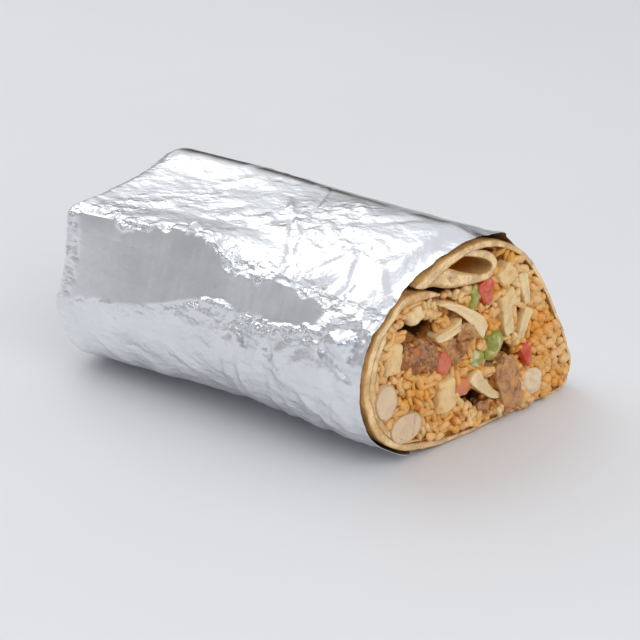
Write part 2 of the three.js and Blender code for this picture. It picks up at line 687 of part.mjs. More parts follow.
function makeFilling(room) {
    const random = seeded(7);
    const spots = [];
    const grains = [];
    for (let n = 0; n < GRAIN.tries && spots.length < GRAIN.count; n++) {
        const y = THREE.MathUtils.lerp(FACE_AREA.near, FACE_AREA.far, random());
        const z = THREE.MathUtils.lerp(FACE_AREA.low, FACE_AREA.high, random());
        if (openRice(y, z, spots)) {
            spots.push([y, z]);
            grains.push(grainSolid(y, z, random));
        }
    }
    const rice = wasm.Manifold.union([packedRice(), ...grains]).intersect(room);
    const solid = rice.subtract(wasm.Manifold.union(PIECES.map(pocketSolid)));
    return finish(toGeometry(solid), COLOURS.rice, RICE.roughness, 0, 'filling');
}

// ---- The whole burrito --------------------------------------------------

const room = fillingRoom();

const burrito = new THREE.Group();
burrito.add(makeFoil(), makeTortilla(), makeFilling(room), ...makePieces(room));

// The origin is under the middle of the whole, on the surface it lies on.
const bounds = new THREE.Box3().setFromObject(burrito);
const centre = bounds.getCenter(new THREE.Vector3());
burrito.position.set(-centre.x, -centre.y, -bounds.min.z);

export default burrito;
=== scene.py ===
"""Dresses a foil-wrapped half burrito: foil, tortilla, rice and the pieces that show at its cut."""

import itertools
import math

import bmesh
import bpy
import numpy as np
from bpy.props import FloatProperty, FloatVectorProperty, IntProperty, PointerProperty
from mathutils import Matrix, Vector


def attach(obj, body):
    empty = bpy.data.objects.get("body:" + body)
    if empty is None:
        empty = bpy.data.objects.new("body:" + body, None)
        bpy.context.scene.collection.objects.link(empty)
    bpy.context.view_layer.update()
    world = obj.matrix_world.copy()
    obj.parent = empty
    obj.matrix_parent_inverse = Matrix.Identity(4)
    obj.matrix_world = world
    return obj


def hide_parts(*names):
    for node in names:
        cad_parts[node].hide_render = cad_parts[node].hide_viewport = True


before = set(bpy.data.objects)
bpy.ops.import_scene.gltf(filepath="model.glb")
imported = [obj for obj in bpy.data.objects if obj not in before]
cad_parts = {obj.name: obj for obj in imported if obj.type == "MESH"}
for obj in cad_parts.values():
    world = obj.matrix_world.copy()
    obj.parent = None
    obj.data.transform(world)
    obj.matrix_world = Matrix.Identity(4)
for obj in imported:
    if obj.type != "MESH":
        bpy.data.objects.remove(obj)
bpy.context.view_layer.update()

bl_info = {
    "name": "Foil-wrapped half burrito",
    "version": (1, 0, 0),
    "blender": (4, 5, 0),
    "location": "3D View > Sidebar > Burrito",
    "description": "Builds the foil, tortilla, rice and filling of a burrito cut in half",
    "category": "Object",
}

MM = 0.001

# The burrito is worked out in millimetres in its own frame: X along the burrito towards the
# cut, Z up from the surface it lies on. PLACE is where that frame lies in the row frame.
PLACE = np.array([3.009, -1.549, 0.0])
AXIS = np.array([1.0, 27.0])                  # middle of the section, [y, z]
BASE_Z = 1.2                                  # underside of the tortilla over its foil

# Outlines of the tortilla at the cut and at the folded end, [y, z], from the middle of the
# underside round the near side, over the top and down the far side.
CUT_OUTLINE = np.array([
    [4, BASE_Z], [-14, 1.9], [-28, 5.3], [-36.2, 13], [-40.3, 27], [-37.3, 38], [-28.8, 47],
    [-16.3, 53.6], [1.5, 56.6], [13.5, 53], [23.8, 44.8], [32.8, 31], [40, 17], [43.4, 6.5],
    [40.5, 1.6], [26, BASE_Z],
])
END_OUTLINE = np.array([
    [5, BASE_Z], [-8, 1.5], [-22.5, 2.9], [-35, 9], [-39.2, 22.5], [-38.8, 38], [-36.6, 49.4],
    [-22, 50.4], [-3, 52], [12, 54.5], [23.5, 46], [32.5, 32.5], [38, 18], [39.5, 7],
    [36, 1.8], [22, BASE_Z],
])
# How far half-way along the near underside is drawn in from a straight run between the two
# outlines: [number of the point, dy, dz].
NEAR_TUCK = ((1, 1.7, 0), (2, 3.3, 0.8), (3, 1.4, 1.4))
BLEND = (0.1, 0.95)            # stations between which the boxy section turns domed
END_DRAWN_IN = 0.26            # how much narrower the flat of the folded end is
END_MIDDLE = np.array([-7.0, 17.0])           # what the end is drawn in towards, [y, z]
ALL_ROUND = np.linspace(0, 1, 720, endpoint=False)    # parts of the way round a section


# ---- Sizes and colours ---------------------------------------------------

def length(label, text, millimetres):
    return FloatProperty(name=label, description=text, default=millimetres * MM, unit="LENGTH")


def colour(label, text, red, green, blue):
    return FloatVectorProperty(
        name=label, description=text, default=(red, green, blue), min=0, max=1, subtype="COLOR"
    )


class BurritoBody(bpy.types.PropertyGroup):
    """Sizes of the burrito as a whole."""

    cut_x: length("Cut", "Place of the cut face on the axis", 54)
    cut_angle: FloatProperty(
        name="Cut angle", description="How far askew the knife went", default=math.radians(9),
        subtype="ANGLE",
    )
    body_end_x: length("Body end", "Where the folded end starts to close", -57.5)
    foil_end_x: length("Foil end", "Outside of the folded end", -63.5)
    tortilla_end_x: length("Tortilla end", "Outside of the tortilla's folded end", -62.3)


class BurritoFoil(bpy.types.PropertyGroup):
    """Sizes of the foil's crumpling."""

    sheet: length("Sheet", "Thickness of the foil with its rolled edge", 0.12)
    stand_off: length("Stand-off", "Mean distance of the foil from the tortilla", 2.0)
    rim_stand_off: length("Rim stand-off", "Distance of the foil from the tortilla at the cut", 0.95)
    dents: length("Dents", "Depth of the broad dents", 1.2)
    creases: length("Creases", "Depth of the creases between them", 0.5)
    wrinkles: length("Wrinkles", "Depth of the fine wrinkles", 0.26)
    rows: IntProperty(name="Rows", description="Facets along the foil", default=186)
    columns: IntProperty(name="Columns", description="Facets around the foil", default=380)


class BurritoTortilla(bpy.types.PropertyGroup):
    """Sizes of the tortilla."""

    thin: length("Thickness", "One layer of tortilla", 1.7)
    layer: length("Near layer", "Outer layer on the near side", 2.3)
    inner_layer: length("Inner layer", "Second layer on the near side", 2.0)
    wobble: length("Wobble", "Unevenness of the sheet", 0.42)
    droop: length("Droop", "How far its edge sags on to the surface below", 0.8)


class BurritoRice(bpy.types.PropertyGroup):
    """Sizes of the rice."""

    grain_length: length("Grain length", "Length of the longest loose grains", 5.6)
    grain_width: length("Grain width", "Thickness of a cooked grain", 2.05)
    grains: IntProperty(
        name="Grains", description="Most loose grains that are laid at the cut", default=1100,
    )
    sunk: length("Sunk", "How far the packed rice lies behind the cut", 1.9)
    seed: IntProperty(name="Seed", description="Changes how the grains lie", default=11)


class BurritoColours(bpy.types.PropertyGroup):
    """Colours of the finishes."""

    foil: colour("Foil", "Bare aluminium", 0.86, 0.87, 0.89)
    tortilla: colour("Tortilla", "Floury skin of the tortilla", 0.56, 0.31, 0.105)
    crumb: colour("Crumb", "Tortilla where it is cut", 0.78, 0.55, 0.30)
    scorch: colour("Scorch", "Griddle spots", 0.34, 0.15, 0.04)
    rice: colour("Rice", "Seasoned rice", 0.80, 0.35, 0.04)
    pale_rice: colour("Pale rice", "Grains with little seasoning", 0.86, 0.60, 0.29)
    # Sauce between the grains, which also serves as painted shade in the gaps.
    sauce: colour("Sauce", "What has run down between the grains", 0.38, 0.11, 0.014)
    # Painted shade: the near black put in the deep hollows of the filling and under the turned-in sheet.
    painted_hollow_shade: colour("Hollow", "Deep gaps in the filling", 0.07, 0.024, 0.007)
    bean: colour("Bean", "Inside of a bean", 0.75, 0.55, 0.35)
    potato: colour("Potato", "Cooked potato", 0.78, 0.55, 0.26)
    onion: colour("Onion", "Softened onion and cabbage", 0.78, 0.58, 0.31)
    meat: colour("Meat", "Roast meat", 0.37, 0.16, 0.06)
    tomato: colour("Tomato", "Diced tomato", 0.60, 0.05, 0.014)
    pepper: colour("Pepper", "Green pepper", 0.25, 0.26, 0.025)
    cheese: colour("Cheese", "Fresh white cheese", 0.86, 0.67, 0.46)


class BurritoStage(bpy.types.PropertyGroup):
    """Camera, floor and light."""

    lens: FloatProperty(name="Lens", description="Focal length in millimetres", default=108.65)
    camera_place: FloatVectorProperty(
        name="Camera", description="Where the camera stands", default=(0.31421, -0.40257, 0.2458),
        subtype="XYZ", unit="LENGTH",
    )
    elevation: FloatProperty(
        name="Elevation", description="How far the camera looks down", default=math.radians(24),
        subtype="ANGLE",
    )
    azimuth: FloatProperty(
        name="Azimuth", description="Heading of the camera, from +Y towards -X",
        default=math.radians(37.6), subtype="ANGLE",
    )
    floor: colour("Floor", "Pale floor", 0.75, 0.75, 0.76)


# ---- Numbers and noise ---------------------------------------------------

# Points and sizes given to a noise are in millimetres. A seed only picks one of many patterns.

def rise(value, low, high):
    """0 up to low, 1 from high on, and a smooth step between them."""
    part = np.clip((value - low) / (high - low), 0.0, 1.0)
    return part * part * (3.0 - 2.0 * part)


def hill(distance, width):
    """1 in the middle, falling away over about one width."""
    return np.exp(-((distance / width) ** 2))


def cell_value(cells, seed):
    """A repeatable value from 0 to 1 for each cell of a lattice."""
    mixed = np.full(cells.shape[:-1], seed * 7919 + 101, np.int64)
    for axis, prime in enumerate((73856093, 19349663, 83492791)):
        mixed ^= cells[..., axis].astype(np.int64) * prime
    for _ in range(2):
        mixed &= 0xFFFFFFFF
        mixed = ((mixed >> 16) ^ mixed) * 0x45D9F3B
    mixed &= 0xFFFFFFFF
    return ((mixed >> 16) ^ mixed) / 0xFFFFFFFF


def soft_noise(points, size, seed):
    """Smooth noise from -1 to 1 with features of that size."""
    scaled = np.asarray(points) / size
    base = np.floor(scaled)
    part = scaled - base
    part = part * part * (3 - 2 * part)
    total = np.zeros(scaled.shape[:-1])
    for corner in itertools.product((0, 1), repeat=3):
        weight = np.prod(np.where(np.array(corner) == 1, part, 1 - part), axis=-1)
        total += weight * cell_value(base + np.array(corner), seed)
    return 2 * total - 1


def rough_noise(points, size, seed, layers=3):
    """Layers of noise, each half the size and half the height of the one before."""
    return sum(soft_noise(points, size / 2 ** n, seed + 17 * n) / 2 ** n for n in range(layers))


def nearest_square(points, seed):
    """Squared distance to the nearest of one point scattered in each unit cell."""
    base = np.floor(points)
    nearest = np.full(points.shape[:-1], np.inf)
    for step in itertools.product((-1, 0, 1), repeat=3):
        cells = base + np.array(step)
        jitter = np.stack([cell_value(cells, seed + n) for n in range(3)], axis=-1)
        nearest = np.minimum(nearest, ((cells + jitter - points) ** 2).sum(axis=-1))
    return nearest


def facets(points, size, seed):
    """Flat facets that meet in sharp folds, as in crushed foil, from about -0.5 to 0.5."""
    scaled = np.asarray(points) / size
    return nearest_square(scaled, seed) - nearest_square(scaled, seed + 3)


def soft_shift(points, size, seed):
    """Smooth noise in each of three directions."""
    return np.stack([soft_noise(points, size, seed + n) for n in range(3)], axis=-1)


def rough_shift(points, size, seed, layers):
    """Layered noise in each of three directions."""
    return np.stack([rough_noise(points, size, seed + 31 * n, layers) for n in range(3)], axis=-1)


# ---- Sections of the burrito ---------------------------------------------

def closed_curve(knots):
    """A smooth closed curve through knots, as a row of points that ends where it starts."""
    steps = 24
    part = np.linspace(0, 1, steps, endpoint=False)[:, None]
    pieces = []
    for n in range(len(knots)):
        p0, p1, p2, p3 = (knots[(n + k) % len(knots)] for k in (-1, 0, 1, 2))
        d0, d1, d2 = (math.sqrt(np.linalg.norm(b - a)) for a, b in ((p0, p1), (p1, p2), (p2, p3)))
        leave = ((p1 - p0) / d0 - (p2 - p0) / (d0 + d1) + (p2 - p1) / d1) * d1
        arrive = ((p2 - p1) / d1 - (p3 - p1) / (d1 + d2) + (p3 - p2) / d2) * d1
        cube, square = part ** 3, part ** 2
        pieces.append(
            p1 * (2 * cube - 3 * square + 1) + leave * (cube - 2 * square + part)
            + p2 * (3 * square - 2 * cube) + arrive * (cube - square)
        )
    curve = np.vstack(pieces)
    return np.vstack([curve, curve[:1]])


def run_lengths(curve):
    steps = np.linalg.norm(np.diff(curve, axis=0), axis=1)
    return np.concatenate([[0.0], np.cumsum(steps)])


def along(curve, fractions):
    """Points at fractions of a curve's length."""
    run = run_lengths(curve)
    places = np.asarray(fractions) * run[-1]
    return np.stack([np.interp(places, run, curve[:, n]) for n in range(curve.shape[1])], axis=-1)


def outwards_at(points, ahead):
    """Directions at right angles to the ones ahead, turned away from the axis."""
    outwards = np.stack([-ahead[:, 1], ahead[:, 0]], axis=-1)
    outwards /= np.linalg.norm(outwards, axis=1)[:, None]
    outwards[((points - AXIS) * outwards).sum(axis=1) < 0] *= -1
    return outwards


def outline(station, fractions):
    """Points and outward directions of the section at a station: 1 is the cut, 0 the end."""
    blend = rise(station, *BLEND)
    knots = END_OUTLINE * (1 - blend) + CUT_OUTLINE * blend
    for number, *inwards in NEAR_TUCK:
        knots[number] += np.array(inwards) * math.sin(math.pi * station)
    curve = closed_curve(knots)
    fractions = np.mod(fractions, 1.0)
    step = 0.002
    points = along(curve, fractions)
    ahead = along(curve, np.mod(fractions + step, 1.0)) - along(curve, np.mod(fractions - step, 1.0))
    return points, outwards_at(points, ahead)


class Body:
    """Lengths along the burrito, in millimetres."""

    def __init__(self):
        sizes = bpy.context.scene.burrito_body
        self.cut = sizes.cut_x / MM
        self.slope = math.tan(sizes.cut_angle)
        self.angle = sizes.cut_angle
        self.end = sizes.body_end_x / MM
        self.foil_end = sizes.foil_end_x / MM
        self.tortilla_end = sizes.tortilla_end_x / MM

    def cut_x(self, y):
        """Where the plane of the cut lies along X."""
        return self.cut + self.slope * y

    def ring(self, station, fractions, distance, recess=0.0):
        """A section moved outwards, leaning with the cut at the front and square at the end."""
        points, outwards = outline(station, fractions)
        points = points + outwards * np.asarray(distance).reshape(-1, 1)
        x = self.end * (1 - station) + (self.cut_x(points[:, 0]) - recess) * station
        return np.column_stack([x, points])

    def end_rings(self, last, end_x, turns, flats):
        """Rings that draw a section in to a blunt end, without its middle point."""
        rings = []
        for turn in np.linspace(0, 1, turns + 1)[1:]:
            angle = turn * math.pi / 2
            size = 1 - END_DRAWN_IN * (1 - math.cos(angle))
            rings.append(self.shrunk(last, size, self.end + (end_x - self.end) * math.sin(angle)))
        for size in np.linspace(1 - END_DRAWN_IN, 0, flats + 1)[1:]:
            rings.append(self.shrunk(last, size, end_x))
        return np.array(rings)

    def shrunk(self, ring, size, x):
        moved = ring.copy()
        moved[:, 0] = x
        moved[:, 1:] = END_MIDDLE + (ring[:, 1:] - END_MIDDLE) * size
        return moved


def polar_table(points):
    """Points of a section as angles round the axis, in order, and distances from it."""
    offset = points - AXIS
    angle = np.arctan2(offset[:, 1], offset[:, 0])
    order = np.argsort(angle)
    return angle[order], np.hypot(offset[:, 0], offset[:, 1])[order]


def spread_round(count, weight):
    """Fractions of a turn from 0 to 1, closer together where the weight is high."""
    steps = 4000
    fine = np.linspace(0, 1, steps + 1)
    total = np.concatenate([[0.0], np.cumsum(weight(fine[:-1] + 0.5 / steps))])
    return np.interp(np.linspace(0, 1, count + 1), total / total[-1], fine)


# ---- Meshes --------------------------------------------------------------

def link_piece(name, mesh):
    piece = bpy.data.objects.new(name, mesh)
    bpy.context.scene.collection.objects.link(piece)
    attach(piece, "root")
    return piece


def into_frame(points):
    """Points of the burrito's own frame, in the row frame and in metres."""
    return (points + PLACE) * MM


def tidy_mesh(shape, mesh, weld=2e-7):
    """Merges doubles, turns the faces outwards and smooths them."""
    bmesh.ops.remove_doubles(shape, verts=shape.verts[:], dist=weld)
    bmesh.ops.dissolve_degenerate(shape, edges=shape.edges[:], dist=weld)
    bmesh.ops.recalc_face_normals(shape, faces=shape.faces[:])
    shape.to_mesh(mesh)
    shape.free()
    mesh.shade_smooth()
    return mesh


def set_values(shape, values):
    """Gives the points of a bmesh named numbers, from arrays in the order of the points."""
    for name, numbers in values.items():
        layer = shape.verts.layers.float.new(name)
        for vertex, number in zip(shape.verts, np.asarray(numbers, float).reshape(-1).tolist()):
            vertex[layer] = number


def sheet_mesh(name, grid, values=None):
    """A mesh from a grid of points, rows by columns, whose seams and poles are welded."""
    rows, columns = grid.shape[:2]
    shape = bmesh.new()
    bmesh.ops.create_grid(shape, x_segments=columns - 1, y_segments=rows - 1, size=1)
    set_points(shape, into_frame(grid).reshape(-1, 3))
    set_values(shape, values or {})
    return tidy_mesh(shape, bpy.data.meshes.new(name))


def points_of(shape):
    return np.array([vertex.co for vertex in shape.verts])


def set_points(shape, points):
    for vertex, place in zip(shape.verts, points.tolist()):
        vertex.co = place


# ---- Finishes ------------------------------------------------------------

# Colours of skins, stains and small marks, and of painted shade and painted glints.
# The fold along the foil's free edge: painted shade and a painted reflection of what lies behind it.
PAINTED_FOLD_SHADE = (0.13, 0.11, 0.09)
SOAKED_CRUMB = (0.60, 0.30, 0.07)
# Tortilla skin deep behind the cut: painted warm shade inside the loop and between the layers.
PAINTED_DEEP_SHADE = (0.72, 0.29, 0.02)
FLECK = (0.12, 0.04, 0.012)
BEAN_SKIN = (0.56, 0.36, 0.16)
ORANGE_SAUCE = (0.70, 0.34, 0.07)
PALE_SAUCE = (0.66, 0.38, 0.14)
BROWN_SAUCE = (0.66, 0.34, 0.09)
PEPPERCORN = (0.05, 0.03, 0.02)
MEAT_FAT = (0.66, 0.36, 0.15)
# Orange patches on meat that stand in for glints: painted highlights.
PAINTED_MEAT_GLINT = (0.74, 0.29, 0.035)
RED_JUICE = (0.46, 0.09, 0.015)
CHAR = (0.06, 0.03, 0.02)
WEAK_TOMATO = (0.74, 0.30, 0.12)
TOMATO_CLOUD = (0.70, 0.20, 0.11)
TOMATO_STREAK = (0.78, 0.42, 0.20)
LIGHT_PEPPER = (0.44, 0.44, 0.08)
CREAM = (0.70, 0.56, 0.28)

class Finish:
    """Builds one material from nodes, on Object coordinates in metres."""

    def __init__(self, name, **sockets):
        self.material = bpy.data.materials.new(name)
        self.material.use_nodes = True
        self.nodes = self.material.node_tree.nodes
        self.links = self.material.node_tree.links
        self.shader = self.nodes["Principled BSDF"]
        for socket, value in sockets.items():
            self.shader.inputs[socket.replace("_", " ")].default_value = value
        self.place = self.nodes.new("ShaderNodeTexCoord").outputs["Object"]

    def set(self, socket, source):
        self.links.new(source, self.shader.inputs[socket])

    def stretched(self, scale, turn=(0, 0, 0), shift=(0, 0, 0)):
        mapping = self.nodes.new("ShaderNodeMapping")
        mapping.inputs["Scale"].default_value = scale
        mapping.inputs["Rotation"].default_value = turn
        mapping.inputs["Location"].default_value = shift
        self.links.new(self.place, mapping.inputs["Vector"])
        return mapping.outputs["Vector"]

    def crumple(self, millimetres, scale=(1, 1, 1)):
        """Flat facets that meet in sharp folds, as in crushed foil, from about -0.5 to 0.5."""
        squares = []
        for shift in ((0, 0, 0), (0.37, 0.19, 0.53)):
            near = self.cells(millimetres, place=self.stretched(scale, shift=shift))
            squares.append(self.maths("MULTIPLY", near, near))
        return self.maths("SUBTRACT", *squares)

    def noise(self, millimetres, detail=3.0, roughness=0.55, distortion=0.0, place=None):
        """Noise with features about that many millimetres across, from 0 to 1."""
        node = self.nodes.new("ShaderNodeTexNoise")
        node.inputs["Scale"].default_value = 1 / (millimetres * MM)
        node.inputs["Detail"].default_value = detail
        node.inputs["Roughness"].default_value = roughness
        node.inputs["Distortion"].default_value = distortion
        self.links.new(place or self.place, node.inputs["Vector"])
        return node.outputs["Fac"]

    def cells(self, millimetres, place=None):
        """Distance to the nearest of points scattered about that many millimetres apart."""
        node = self.nodes.new("ShaderNodeTexVoronoi")
        node.inputs["Scale"].default_value = 1 / (millimetres * MM)
        self.links.new(place or self.place, node.inputs["Vector"])
        return node.outputs["Distance"]

    def value(self, name):
        node = self.nodes.new("ShaderNodeAttribute")
        node.attribute_name = name
        return node.outputs["Fac"]

    def spread(self, source, low, high, start=0.0, end=1.0):
        """Maps low to high on to start to end, and holds it there."""
        node = self.nodes.new("ShaderNodeMapRange")
        node.inputs["From Min"].default_value = low
        node.inputs["From Max"].default_value = high
        node.inputs["To Min"].default_value = start
        node.inputs["To Max"].default_value = end
        self.links.new(source, node.inputs["Value"])
        return node.outputs["Result"]

    def maths(self, operation, first, second):
        node = self.nodes.new("ShaderNodeMath")
        node.operation = operation
        self.links.new(first, node.inputs[0])
        self.links.new(second, node.inputs[1])
        return node.outputs["Value"]

    def mix(self, part, first, second):
        """Mixes two colours, or a source of colour and a colour, by a source from 0 to 1."""
        node = self.nodes.new("ShaderNodeMix")
        node.data_type = "RGBA"
        self.links.new(part, node.inputs["Factor"])
        for socket, source in ((node.inputs[6], first), (node.inputs[7], second)):
            if hasattr(source, "is_linked"):
                self.links.new(source, socket)
            else:
                socket.default_value = (*source, 1.0)
        return node.outputs[2]

    def shades(self, source, low, high, rgb, first, second):
        """A colour that goes from one factor of itself to another as a source rises."""
        return self.mix(self.spread(source, low, high), tinted(rgb, first), tinted(rgb, second))

    def stain(self, source, low, high, most, under, over):
        """Lays one colour over another, up to a share of it, as a source goes from low to high."""
        return self.mix(self.spread(source, low, high, 0, most), under, over)

    def bump(self, height, millimetres, strength=1.0, after=None):
        """Relief of that height; after is another relief's output, to add this one to it."""
        node = self.nodes.new("ShaderNodeBump")
        node.inputs["Strength"].default_value = strength
        node.inputs["Distance"].default_value = millimetres * MM
        self.links.new(height, node.inputs["Height"])
        if after:
            self.links.new(after, node.inputs["Normal"])
        return node.outputs["Normal"]


def tinted(rgb, factor):
    return tuple(min(1.0, channel * factor) for channel in rgb)


def moist(name, **more):
    """A food finish: light goes some way into it, and its surface is wet."""
    sockets = {
        "Roughness": 0.42, "Subsurface_Weight": 0.35, "Subsurface_Scale": 0.0012,
        "Subsurface_Radius": (1.0, 0.55, 0.3), "Coat_Weight": 0.25, "Coat_Roughness": 0.22,
        "Specular_IOR_Level": 0.5,
    }
    return Finish(name, **{**sockets, **more})


# ---- Foil ----------------------------------------------------------------

# Lines along the near side between which the foil lies flat and smooth, [x, part of the way
# round]: the shoulder, where the top turns over, and the fold under the smooth band.
SHOULDER = np.array([
    [-62, .366], [-56, .368], [-50, .373], [-42, .371], [-39.5, .361], [-34.5, .364], [-30.5, .365],
    [-24, .372], [-18.6, .392], [-17.6, .371], [-11.6, .369], [-7.2, .368], [-5.5, .360],
    [-2.5, .347], [2.8, .342], [9, .336], [11.9, .346], [15.1, .351], [19, .348], [23.5, .342],
    [28.6, .339], [31, .326], [35, .320], [56, .320],
])
UNDERFOLD = np.array([
    [-62, .257], [-50, .267], [-42, .270], [-34.6, .271], [-26.7, .279], [-19.6, .286], [-14.3, .296],
    [-8.1, .306], [-1.4, .308], [2.1, .307], [5.1, .299], [13, .303], [18.8, .300], [29, .309],
    [35, .315], [56, .315],
])
# The same lines without their crinkles, which shape the broad form of the band.
BAND_TOP = np.array([[-62, .368], [-20, .373], [-6, .366], [3, .348], [12, .345], [36, .338]])
BAND_FOOT = np.array([[-62, .257], [-40, .270], [-20, .286], [-8, .304], [2, .306], [36, .306]])
# How far its foot and its top stand out, [x, foot, top], so that it stays nearly upright.
BAND_LEAN = np.array([
    [-62, 1.2, -0.6], [-30, 0.9, 0.3], [-12, -0.7, 1.8], [0, -0.4, 1.3], [30, -0.8, 1.8],
])
# Foot and head of the crushed patch beside the cut, [x, part round].
PATCH_FOOT = np.array([[24, .325], [31, .296], [38, .276], [47, .262], [54, .262]])
PATCH_HEAD = np.array([[24, .325], [30, .326], [40, .334], [54, .345]])
RIDGE = np.array([             # the sheet's free edge along the top, [x, part round]
    [-62, .581], [-40, .578], [-23, .572], [-6, .560], [3, .553], [11, .544], [20, .535],
    [29, .526], [37, .521], [56, .520],
])

# Single creases: [x, part round] of both ends, height (a groove if negative) and width in mm.
CREASES = [
    (-6.1, .502, 2.3, .454, 0.6, 1.3), (2.3, .454, 9.1, .406, -0.6, 1.1),
    (9.1, .406, 14.2, .373, -0.5, 1.1), (30.3, .404, 32.6, .373, 0.6, 1.3),
    (-3.3, .486, 11.8, .411, 0.5, 1.0), (11.8, .411, 15.5, .372, -0.45, 0.9),
    (-2.8, .572, 11.8, .411, -0.45, 1.0), (33.6, .335, 35.9, .375, 0.5, 0.9),
    (18, .395, 31, .425, -0.4, 0.9), (22, .372, 27.5, .408, 0.4, 0.9),
    (36, .395, 43, .43, 0.45, 0.9), (8, .47, 22, .505, 0.45, 1.1),
    (32.6, .373, 32.2, .340, 0.7, 1.8), (5.5, .287, 7.6, .263, 0.9, 1.7),
    (7.6, .263, 5.9, .194, 0.9, 2.2), (16.4, .277, 18.5, .256, -0.8, 1.6),
    (18.5, .256, 22.1, .235, 0.8, 2.0), (-19.4, .404, -17.4, .365, 1.1, 2.0),
    (-42.5, .385, -41, .350, 0.8, 1.6), (-9.9, .406, -4.5, .435, -0.5, 2.2),
    (-33, .506, -23.3, .546, 0.4, 2.4), (22, .46, 36, .50, -0.5, 2.6),
    (12, .52, 26, .47, 0.4, 2.0), (-50, .42, -36, .45, 0.4, 2.6),
    (-28, .44, -14, .47, -0.4, 3.0), (-47, .215, -38, .180, 0.5, 2.2),
    (-36, .225, -22, .190, -0.4, 2.4), (-20, .235, -6, .200, 0.5, 2.6),
    (24, .24, 38, .18, 0.6, 2.6), (34, .30, 44, .20, -0.5, 2.2),
    (36, .42, 47, .36, 0.5, 1.8), (-30, .66, -8, .72, 0.6, 2.6),
    (2, .70, 20, .64, -0.6, 2.4), (24, .72, 44, .66, 0.6, 2.4),
    (-52, .74, -40, .64, 0.6, 2.2), (-12, .78, 6, .76, 0.5, 2.4),
]
FOIL_LENGTH_ROUND = 226.0      # length of a section of the foil
SHARP_FOLD = math.radians(24)  # folds of the foil that turn further than this look sharp
# How the foil turns round its torn edge: [rows back from the rim, gap in sheets].
RIM_TURN = ((0, 0.5), (0, 1), (1, 1), (3, 1), (6, 2), (10, 5), (16, 10))
INSIDE_GAP = 1.6               # how far inside the foil its inner skin runs behind the rim


def smooth_band(x):
    """Where the flat band on the near side shows, from 0 to 1 along the burrito."""
    return rise(x, -57, -53.5) * (1 - rise(x, 28, 33))


def crease_relief(x, around):
    """Height of the single creases."""
    total = np.zeros_like(x)
    for x1, round1, x2, round2, height, width in CREASES:
        start = np.array([x1, round1 * FOIL_LENGTH_ROUND])
        run = np.array([x2, round2 * FOIL_LENGTH_ROUND]) - start
        offset = np.stack([x - start[0], around * FOIL_LENGTH_ROUND - start[1]], axis=-1)
        part = np.clip(offset @ run / (run @ run), 0, 1)
        away = np.linalg.norm(offset - part[..., None] * run, axis=-1)
        faded = np.sin(np.pi * np.clip(part, 0.04, 0.96)) ** 0.5
        total += height * faded * np.maximum(0, 1 - away / width)
    return total


def round_zone(around, low, high, soft=.02):
    """1 between two parts of the way round, fading over a soft edge."""
    return rise(around, low - soft, low) * (1 - rise(around, high, high + soft))


